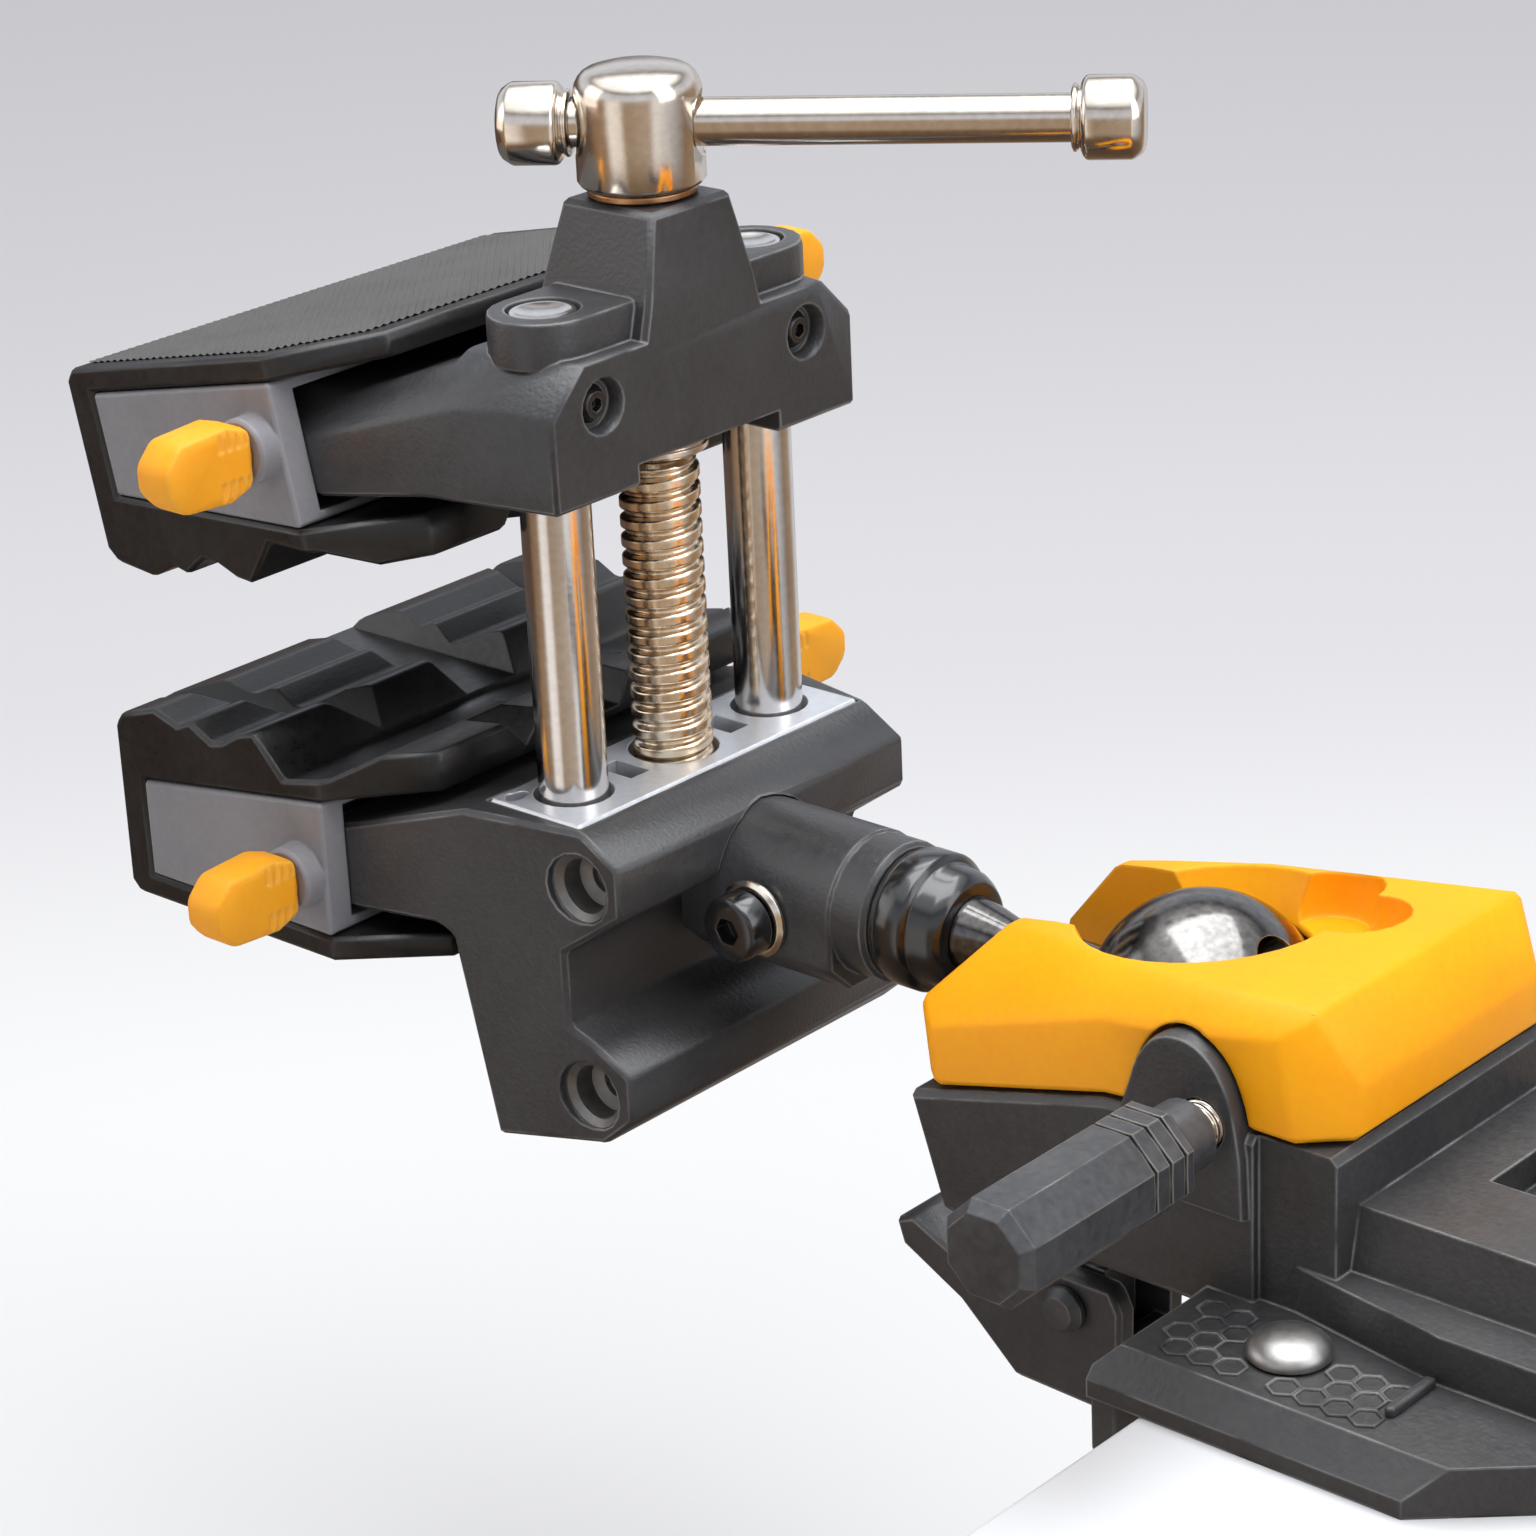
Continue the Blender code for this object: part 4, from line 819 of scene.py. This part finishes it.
def knurl():
    bm = bmesh.new()
    across = int(2 * PAD_HALF / KNURL_STEP)
    along = int((KNURL_REAR - KNURL_FRONT) / KNURL_STEP)
    grid = {}
    for i in range(along + 1):
        for j in range(across + 1):
            u, y = KNURL_FRONT + i * KNURL_STEP, -PAD_HALF + j * KNURL_STEP
            if abs(y) > PAD_HALF - max(0.0, u - KNURL_CORNER) * CORNER_SLOPE:
                continue
            high = KNURL_HIGH if (i + j) % 2 == 0 else KNURL_LOW
            grid[i, j] = bm.verts.new((u, y, PAD_FACE + high))
    for i, j in list(grid):
        ring = [grid.get(key) for key in ((i, j), (i + 1, j), (i + 1, j + 1), (i, j + 1))]
        if None in ring:
            continue
        if (i + j) % 2:
            ring = ring[1:] + ring[:1]
        bm.faces.new((ring[0], ring[1], ring[2]))
        bm.faces.new((ring[0], ring[2], ring[3]))
    return bm


print("knurl points stand", KNURL_HIGH, "mm above the pad")

# %% [markdown]
# ## Knurling both pads
#
# The upper jaw leans on its pivot and shows its flat side on top. The lower one is turned over,
# so its flat side looks down. One frame for each jaw carries the same field to both places.

# %% Knurl both pads
UP_PIVOT = Vector((-54.5, 0, 61.0))
LOW_PIVOT = Vector((-53.0, 0, -16.0))
UPPER_LEAN = math.radians(-12.0)

jaw_frames = {
    "upper": Matrix.Translation(HEAD + UP_PIVOT) @ Matrix.Rotation(UPPER_LEAN, 4, "Y"),
    "lower": Matrix.Translation(HEAD + LOW_PIVOT) @ Matrix.Rotation(math.pi, 4, "X"),
}
for level, place in jaw_frames.items():
    field = knurl()
    bmesh.ops.transform(field, matrix=place, verts=field.verts)
    field_piece = to_object(field, f"{level}_pad_knurl_painted_sheen", KNURL_PAINTED_SHEEN, f"{level}_jaw", sharp=10)
    print(field_piece.name, "faces:", len(field_piece.data.polygons))

# %% [markdown]
# ## Honeycomb round the dome bolts
#
# The flange has a raised honeycomb round each bolt. Each cell is a low hexagonal rib with sloped
# sides, and neighbours meet along their outer edge. One solid cut with many holes would need a
# slow Boolean for the same look.

# %% Helper for one cell
PAD_TOP = -28.0
CELL = 4.8
CELL_REACH = CELL / math.sqrt(3) + 0.02
RIB_HIGH = 0.4
RIB_WIDE = 0.38
RIB_SLOPE = 0.3
RIB_FOOT = 0.1


def hexagon(bm, centre, low, high):
    def ring(radius, z):
        turns = [math.radians(30 + 60 * k) for k in range(6)]
        return [
            bm.verts.new((centre[0] + radius * math.cos(t), centre[1] + radius * math.sin(t), z))
            for t in turns
        ]

    foot, edge = ring(CELL_REACH, low), ring(CELL_REACH, high)
    crest = ring(CELL_REACH - RIB_WIDE, high)
    root = ring(CELL_REACH - RIB_WIDE - RIB_SLOPE, low)
    for a, b in ((foot, edge), (edge, crest), (crest, root), (root, foot)):
        for k in range(6):
            bm.faces.new((a[k], a[(k + 1) % 6], b[(k + 1) % 6], b[k]))


print("a cell is", CELL, "mm across its flats")

# %% [markdown]
# ## Filling a pad with cells
#
# The cells stand on a grid of rows with every other row moved by half a cell. A cell is kept
# when its centre lies on the flat pad and clear of the bolt.

# %% Fill the pads with cells
DOME_X = 46.0
DOME_Y = 42.0
DOME_CLEAR = 8.4
CELLS_FRONT = 29.0
CELLS_REAR = 65.8
INNER_START = 26.0
INNER_EDGE = 33.6
INNER_SLOPE = 0.176
OUTER_EDGE = 53.0
OUTER_SLOPE = 0.12


def on_pad(x, y):
    """Whether a cell's centre lies on the flat pad, clear of the bolt."""
    inner = INNER_EDGE + (x - INNER_START) * INNER_SLOPE
    outer = OUTER_EDGE - abs(x - DOME_X) * OUTER_SLOPE
    clear = math.hypot(x - DOME_X, y - DOME_Y) >= DOME_CLEAR
    return CELLS_FRONT < x < CELLS_REAR and inner < y < outer and clear


def honeycomb(sign):
    bm = bmesh.new()
    low, high = BALL.z + PAD_TOP - RIB_FOOT, BALL.z + PAD_TOP + RIB_HIGH
    count = 0
    for row in range(-8, 9):
        for column in range(-8, 9):
            x = DOME_X + column * CELL + (row % 2) * CELL / 2
            y = DOME_Y + row * CELL * math.sqrt(3) / 2
            if on_pad(x, y):
                hexagon(bm, (BALL.x + x, sign * y), low, high)
                count += 1
    print("cells:", count)
    return bm


# %% [markdown]
# ## Honeycomb and curb ends on both sides
#
# The far side is a mirror of the near one. A short curb closes each field at the rear, as a
# small extruded outline.

# %% Lay the honeycomb and the curb ends
CURB_HIGH = 1.6

for side, sign in (("near", -1), ("far", 1)):
    to_object(honeycomb(sign), f"honeycomb_{side}", BASE, "base", sharp=20)
    curb = [(66.5, 36.7), (68.3, 36.7), (68.3, 47.7), (67.4, 48.5), (66.5, 47.7)]
    outline = [(BALL.x + x, sign * y) for x, y in curb]
    foot, top = BALL.z + PAD_TOP - RIB_FOOT, BALL.z + PAD_TOP + CURB_HIGH
    rib = to_object(extruded(outline, "Z", foot, top), f"curb_end_{side}", BASE, "base")
    rounded(rib, 0.5)
print("curb ends stand", CURB_HIGH, "mm high")

# %% [markdown]
# ## Dome bolts
#
# Round-headed bolts hold the base to the bench. The head is a true dome, as an arc in the
# profile.

# %% Turn the dome bolts
DOME_R = 6.6
DOME_HIGH = 3.2

dome_line = [(0, -7.4), (3.0, -7.4), (3.0, 0.3), (6.4, 0.3), (DOME_R, 0.5), (DOME_R, 1.0)]
for turn in (8, 18, 28, 38, 48, 58, 68, 78):
    angle = math.radians(turn)
    dome_line.append((DOME_R * math.cos(angle), 1.0 + DOME_HIGH * math.sin(angle)))
dome_line.append((0, 1.0 + DOME_HIGH))
for side, sign in (("near", -1), ("far", 1)):
    place = bx(DOME_X, PAD_TOP) + Vector((0, sign * DOME_Y, 0))
    dome = aimed(spun(dome_line), UP, place)
    to_object(dome, f"dome_turned_{side}", DOME_STEEL, "base", [f"dome_bolt_{side}"], sharp=40)
print("dome heads are", 2 * DOME_R, "mm across")

# %% [markdown]
# ## Cross bolt
#
# The bolt that squeezes the ears shows its thread between the ear and the grip. It uses the
# spindle's thread helper with a fine pitch.

# %% Cut the cross bolt
CLAMP = Vector((24.5, 0, 0.6))
CROSS_START = -56.0
CROSS_LENGTH = 100.0
CROSS_ROOT = 3.4
CROSS_R = 4.0
CROSS_PITCH = 1.25

cross_thread = threaded(0.0, CROSS_LENGTH, CROSS_ROOT, CROSS_R, CROSS_PITCH, 40, 10)
cross_place = BALL + CLAMP + Vector((0, CROSS_START, 0))
cross_piece = to_object(
    aimed(cross_thread, (0, 1, 0), cross_place),
    "cross_bolt_thread", NICKEL, "base", ["cross_bolt"], sharp=60,
)
print("cross bolt faces:", len(cross_piece.data.polygons))

# %% [markdown]
# ## Barrel screw
#
# A black socket screw with a bright ring locks the stem in the barrel. The socket is a spin of
# six steps, which gives a hexagon.

# %% Turn the ring and the screw
BARREL_SCREW_X = 17.0
BARREL_SCREW_Z = -20.0
TOWARDS_NEAR = (0, -1, 0)

ring_line = [(3.6, 0), (6.6, 0), (6.9, 0.3), (6.9, 0.9), (6.2, 1.6), (3.6, 1.6)]
ring_place = hx(BARREL_SCREW_X, BARREL_SCREW_Z, -13.05)
ring_piece = aimed(spun(ring_line, closed=True), TOWARDS_NEAR, ring_place)
to_object(ring_piece, "screw_ring_turned", NICKEL, "head", ["barrel_screw_ring"])
screw_line = [(0, 0), (2.9, 0), (3.1, 0.3), (3.1, 9.6), (5.3, 9.6), (5.8, 10.1), (5.8, 14.0)]
screw_line += [(5.5, 14.6), (4.9, 15.0), (0, 15.0)]
screw_head = to_object(
    aimed(spun(screw_line), TOWARDS_NEAR, hx(BARREL_SCREW_X, BARREL_SCREW_Z, -5.4)),
    "barrel_screw_turned", BLACK, "barrel_screw", ["barrel_screw"],
)
socket = spun([(0, 0), (2.6, 0), (2.6, 6), (0, 6)], 6)
socket_place = hx(BARREL_SCREW_X, BARREL_SCREW_Z, -17.4)
cut_away(screw_head, aimed(socket, TOWARDS_NEAR, socket_place), "screw_socket")
print("screw head at", [round(v, 1) for v in socket_place])

# %% [markdown]
# ## Grip scores
#
# Three shallow grooves run round the grip where it meets its neck. They are cut with modifiers,
# so the solid itself stays as imported.

# %% Score the grip
SCORES = (-49.0, -52.6, -56.2)
SCORE_FLOOR = 7.55

for index, y in enumerate(SCORES):
    ring_cut = spun(
        [(SCORE_FLOOR, -0.22), (9.4, -0.5), (9.4, 0.5), (SCORE_FLOOR, 0.22)], 48, closed=True
    )
    place = BALL + CLAMP + Vector((0, y, 0))
    cut_away(nodes["clamp_grip"], aimed(ring_cut, (0, 1, 0), place), f"grip_score_{index}")
print("scores:", len(SCORES))

# %% [markdown]
# ## Knob flutes
#
# Each orange knob has four short flutes on both faces for the thumb. All eight cutters of a knob
# are gathered in one mesh, so each knob carries one modifier.

# %% Flute the knobs
FLUTES = 4
FLUTE_GAP = 1.9
FLUTE_R = 0.75
FLUTE_LONG = 4.0
FLUTE_X = 4.55
FLUTE_Z = 4.6


def flute_cutters(pivot, sign, start):
    flutes = bmesh.new()
    profile = [(0, 0), (FLUTE_R, 0), (FLUTE_R, FLUTE_LONG), (0, FLUTE_LONG)]
    for index in range(FLUTES):
        middle = HEAD + pivot + Vector((FLUTE_X, sign * (start + index * FLUTE_GAP), 0))
        for end in (-FLUTE_Z, FLUTE_Z):
            one = aimed(spun(profile, 16), UP, middle + Vector((0, 0, end - FLUTE_LONG / 2)))
            mesh = bpy.data.meshes.new("flute")
            one.to_mesh(mesh)
            one.free()
            flutes.from_mesh(mesh)
            bpy.data.meshes.remove(mesh)
    return flutes


for level, pivot in (("upper", UP_PIVOT), ("lower", LOW_PIVOT)):
    for side, sign, start in (("near", -1, 57.6), ("far", 1, 70.6)):
        cutters = flute_cutters(pivot, sign, start)
        cut_away(nodes[f"{level}_knob_{side}"], cutters, f"flutes_{level}_{side}")
print("flutes on each knob face:", FLUTES)

# %% [markdown]
# ## Oval holes in the guide plate
#
# The bright plate has a small oval hole beside each rod. A spun cylinder is stretched along Y
# to make the cutter.

# %% Cut the oval holes
OVAL_R = 1.5
OVAL_STRETCH = 1.7

for side, sign in (("near", -1), ("far", 1)):
    oval = spun([(0, -5), (OVAL_R, -5), (OVAL_R, 3), (0, 3)], 24)
    bmesh.ops.scale(oval, verts=oval.verts, vec=(1, OVAL_STRETCH, 1))
    bmesh.ops.translate(oval, verts=oval.verts, vec=hx(-19.0, 0, sign * 32.2))
    cut_away(nodes["guide_plate"], oval, f"oval_{side}")
print("oval holes are", round(2 * OVAL_R * OVAL_STRETCH, 1), "mm long")

# %% [markdown]
# ## Machined seats in the side holes
#
# The four holes in the sides of the lower body show bare machined metal. Thin liners follow the
# stepped holes. A second material on the solid's faces would need its mesh changed.

# %% Line the holes
# The third colour is the paler edge: partly wear, partly a painted highlight.
HOLE_METAL = surface(
    "hole_metal", (0.14, 0.135, 0.13), (0.24, 0.23, 0.22), (0.4, 0.4, 0.4), (0.35, 0.5),
    metallic=0.7, grain=1300, bump=0.06, radius=0.2,
)
HOLE_Y = 24.5

liner = [(0, 5.0), (2.95, 5.0), (2.95, 6.1), (4.95, 7.1), (4.95, 11.0), (6.1, 12.1)]
liner += [(6.1, 12.2), (4.9, 11.1), (4.9, 7.2), (2.9, 6.2), (2.9, 5.1), (0, 5.1)]
for side, sign in (("near", -1), ("far", 1)):
    for row, x, z in (("upper", -0.6, -10.7), ("lower", -0.9, -49.2)):
        lining = aimed(spun(liner, 64), (0, sign, 0), hx(x, z, sign * HOLE_Y))
        to_object(lining, f"hole_liner_{row}_{side}", HOLE_METAL, "head")

# %% [markdown]
# ## Camera
#
# The photo was taken with a long lens, from above the bench and in front of the jaws' near side.
# The place, direction, lens and roll were solved from points whose place on the vise is known.

# %% Place the camera
VIEW_FROM = Vector((0.3237, -0.5032, 0.3342))
LOOK = Vector((-0.62541, 0.68227, -0.37865))
ROLL = math.radians(-2.68)
LENS = 101.5

camera_data = bpy.data.cameras.new("camera")
camera_data.lens = LENS
camera_data.sensor_width = 36.0
camera_data.clip_start = 0.02
camera_data.clip_end = 20.0
camera = bpy.data.objects.new("camera", camera_data)
bpy.context.scene.collection.objects.link(camera)
camera.location = VIEW_FROM
camera.rotation_mode = "QUATERNION"
facing = LOOK.to_track_quat("-Z", "Y")
camera.rotation_quaternion = facing @ Matrix.Rotation(ROLL, 3, "Z").to_quaternion()
bpy.context.scene.camera = camera
print("camera looks down by", round(-math.degrees(math.asin(LOOK.z)), 1), "degrees")

# %% [markdown]
# ## Bench and floor
#
# A white bench top under the flange and a pale floor far below. The floor is white near the vise
# and grey further off. For the camera alone it is partly a glow, which keeps its tone even, and
# both are hidden from reflections, where the surroundings below take their place.

# %% Floor finish
FLOOR_STOPS = [
    (0.3, (0.8, 0.8, 0.81)),
    (1.1, (0.62, 0.615, 0.64)),
    (0.6, (0.66, 0.655, 0.68)),
]
FLOOR_GLOW = 1.1
GLOW_SHARE = 0.6


def plain(name, color, rough):
    made = bpy.data.materials.new(name)
    made.use_nodes = True
    shader = made.node_tree.nodes["Principled BSDF"]
    shader.inputs["Base Color"].default_value = (*color, 1)
    shader.inputs["Roughness"].default_value = rough
    return made


def ramp_of(tree, stops):
    """A colour ramp whose first two stops take the ramp's own two points."""
    ramp = tree.nodes.new("ShaderNodeValToRGB")
    points = ramp.color_ramp.elements
    for index, (place, color) in enumerate(stops):
        point = points[index] if index < 2 else points.new(place)
        point.position = place
        point.color = (*color, 1)
    return ramp


def fading_floor():
    made = plain("floor_pale", (0.8, 0.8, 0.82), 0.7)
    tree = made.node_tree
    matte = tree.nodes["Principled BSDF"]
    place = tree.nodes.new("ShaderNodeTexCoord")
    along = tree.nodes.new("ShaderNodeVectorMath")
    along.operation = "DOT_PRODUCT"
    along.inputs[1].default_value = (LOOK.x, LOOK.y, 0)
    ramp = ramp_of(tree, FLOOR_STOPS)
    ramp.color_ramp.interpolation = "EASE"
    glow = tree.nodes.new("ShaderNodeEmission")
    glow.inputs["Strength"].default_value = FLOOR_GLOW
    rays = tree.nodes.new("ShaderNodeLightPath")
    share = tree.nodes.new("ShaderNodeMath")
    share.operation = "MULTIPLY"
    share.inputs[1].default_value = GLOW_SHARE
    blend = tree.nodes.new("ShaderNodeMixShader")
    link = tree.links.new
    link(place.outputs["Object"], along.inputs[0])
    link(along.outputs["Value"], ramp.inputs["Fac"])
    link(ramp.outputs["Color"], matte.inputs["Base Color"])
    link(ramp.outputs["Color"], glow.inputs["Color"])
    link(rays.outputs["Is Camera Ray"], share.inputs[0])
    link(share.outputs["Value"], blend.inputs["Fac"])
    link(matte.outputs["BSDF"], blend.inputs[1])
    link(glow.outputs["Emission"], blend.inputs[2])
    link(blend.outputs["Shader"], tree.nodes["Material Output"].inputs["Surface"])
    return made


print("the floor's glow is", GLOW_SHARE, "of what the camera sees")

# %% [markdown]
# ## Setting the bench and the floor
#
# Both are plain boxes. The bench starts just behind the lip, and its edge is slightly round.

# %% Set the bench and the floor
BENCH_FRONT = -16.0
BENCH_TOP = -0.05
BENCH_THICK = 30.0
FLOOR_TOP = -130.0
FLOOR_HALF = 3000.0


def box(x, y, z):
    outline = [(x[0], y[0]), (x[1], y[0]), (x[1], y[1]), (x[0], y[1])]
    return extruded(outline, "Z", *z)


bench_box = box((BENCH_FRONT, 700.0), (-900.0, 900.0), (-BENCH_THICK, BENCH_TOP))
bench = to_object(bench_box, "bench_top", plain("bench_white", (0.7, 0.7, 0.715), 0.5), None)
rounded(bench, 1.5)
wide = (-FLOOR_HALF, FLOOR_HALF)
floor = to_object(box(wide, wide, (FLOOR_TOP - 10.0, FLOOR_TOP)), "floor", fading_floor(), None)
floor.visible_glossy = False
bench.visible_glossy = False
print("floor lies", BENCH_TOP - FLOOR_TOP, "mm below the bench top")

# %% [markdown]
# ## Lights
#
# Large soft lamps, as in a studio: one above, a weak warm one at the left, and a cooler one at
# the right. Small lamps would give hard shadows that the photo doesn't have.

# %% Hang the lamps
def area_light(name, at, towards, size, power, color):
    data = bpy.data.lights.new(name, "AREA")
    data.shape = "RECTANGLE"
    data.size, data.size_y = size
    data.energy = power
    data.color = color
    lamp = bpy.data.objects.new(name, data)
    lamp.location = at
    lamp.rotation_mode = "QUATERNION"
    lamp.rotation_quaternion = (Vector(towards) - Vector(at)).to_track_quat("-Z", "Y")
    bpy.context.scene.collection.objects.link(lamp)
    print(name, "gives", power, "W")


SIDE_SIZE = (0.9, 1.2)
COOL = (0.96, 0.98, 1.0)
WARM = (1, 0.95, 0.9)
NEUTRAL = (0.98, 0.99, 1.0)

area_light("key_above", (-0.05, 0.1, 1.3), (-0.12, 0, 0.05), (1.4, 1.2), 27.0, COOL)
area_light("side_left", (-1.2, -0.9, 0.5), (-0.15, 0, 0.08), SIDE_SIZE, 4.5, WARM)
area_light("side_right", (1.3, 0.2, 0.8), (-0.1, 0, 0.05), SIDE_SIZE, 8.0, NEUTRAL)

# %% [markdown]
# ## Surroundings
#
# Diffuse light comes from a plain soft sky. Mirror-like metal needs something to show, so glossy
# rays see tall soft panels all round: white, grey, brown and bronze, with a bright ceiling. They
# follow the direction in the room, so the metal keeps them from every view. Real panels of
# geometry would do the same, but would get in the way of the views from other sides.

# %% Panels by direction, levels by height
PANELS = [
    (0.0, (0.15, 0.1, 0.08)),
    (0.09, (0.13, 0.085, 0.06)),
    (0.13, (0.36, 0.22, 0.13)),
    (0.19, (0.45, 0.31, 0.2)),
    (0.225, (1.3, 1.26, 1.22)),
    (0.275, (1.2, 1.12, 1.05)),
    (0.3, (0.5, 0.38, 0.27)),
    (0.42, (0.66, 0.55, 0.45)),
    (0.45, (1.2, 1.2, 1.2)),
    (0.56, (0.6, 0.6, 0.62)),
    (0.62, (0.36, 0.26, 0.18)),
    (0.7, (0.5, 0.36, 0.25)),
    (0.76, (0.85, 0.85, 0.87)),
    (0.85, (0.6, 0.6, 0.63)),
    (0.89, (0.14, 0.1, 0.085)),
]
LEVELS = [
    (0.0, (0.14, 0.09, 0.06), 1.0),
    (0.14, (0.24, 0.16, 0.1), 1.0),
    (0.24, (0.3, 0.2, 0.13), 0.0),
    (0.54, (0.8, 0.84, 0.92), 0.0),
    (0.63, (0.95, 1.0, 1.1), 1.0),
    (0.74, (0.8, 0.85, 0.95), 1.0),
    (0.8, (0.3, 0.29, 0.29), 1.0),
    (0.87, (1.6, 1.65, 1.7), 1.0),
]
print("panels:", len(PANELS), "levels:", len(LEVELS))

# %% [markdown]
# ## Building the world
#
# The direction of a ray gives two numbers, its turn about the upright and its height. Each
# drives a colour ramp, and a third ramp says how far the level covers the panel.

# %% Build the world
SKY_LEVEL = 0.3
PANEL_LEVEL = 0.9


def surroundings():
    world = bpy.data.worlds.new("world")
    world.use_nodes = True
    tree = world.node_tree
    link = tree.links.new
    place = tree.nodes.new("ShaderNodeTexCoord")
    parts = tree.nodes.new("ShaderNodeSeparateXYZ")
    link(place.outputs["Generated"], parts.inputs[0])
    turn = tree.nodes.new("ShaderNodeMath")
    turn.operation = "ARCTAN2"
    link(parts.outputs["Y"], turn.inputs[0])
    link(parts.outputs["X"], turn.inputs[1])
    share = range_node(tree, -math.pi, math.pi)
    link(turn.outputs["Value"], share.inputs["Value"])
    panels = ramp_of(tree, PANELS)
    link(share.outputs["Result"], panels.inputs["Fac"])
    height = range_node(tree, -1, 1)
    link(parts.outputs["Z"], height.inputs["Value"])
    levels = ramp_of(tree, [(at, color) for at, color, _ in LEVELS])
    weights = ramp_of(tree, [(at, (weight,) * 3) for at, _, weight in LEVELS])
    link(height.outputs["Result"], levels.inputs["Fac"])
    link(height.outputs["Result"], weights.inputs["Fac"])
    mixed = tree.nodes.new("ShaderNodeMix")
    mixed.data_type = "RGBA"
    link(weights.outputs["Color"], mixed.inputs["Factor"])
    link(panels.outputs["Color"], mixed.inputs["A"])
    link(levels.outputs["Color"], mixed.inputs["B"])
    plain_sky = tree.nodes["Background"]
    plain_sky.inputs["Color"].default_value = (0.97, 0.98, 1.0, 1)
    plain_sky.inputs["Strength"].default_value = SKY_LEVEL
    shown = tree.nodes.new("ShaderNodeBackground")
    link(mixed.outputs["Result"], shown.inputs["Color"])
    shown.inputs["Strength"].default_value = PANEL_LEVEL
    rays = tree.nodes.new("ShaderNodeLightPath")
    choice = tree.nodes.new("ShaderNodeMixShader")
    link(rays.outputs["Is Glossy Ray"], choice.inputs["Fac"])
    link(plain_sky.outputs["Background"], choice.inputs[1])
    link(shown.outputs["Background"], choice.inputs[2])
    link(choice.outputs["Shader"], tree.nodes["World Output"].inputs["Surface"])
    return world


bpy.context.scene.world = surroundings()
bpy.context.scene.view_settings.view_transform = "Standard"
print("sky level:", SKY_LEVEL, "panel level:", PANEL_LEVEL)
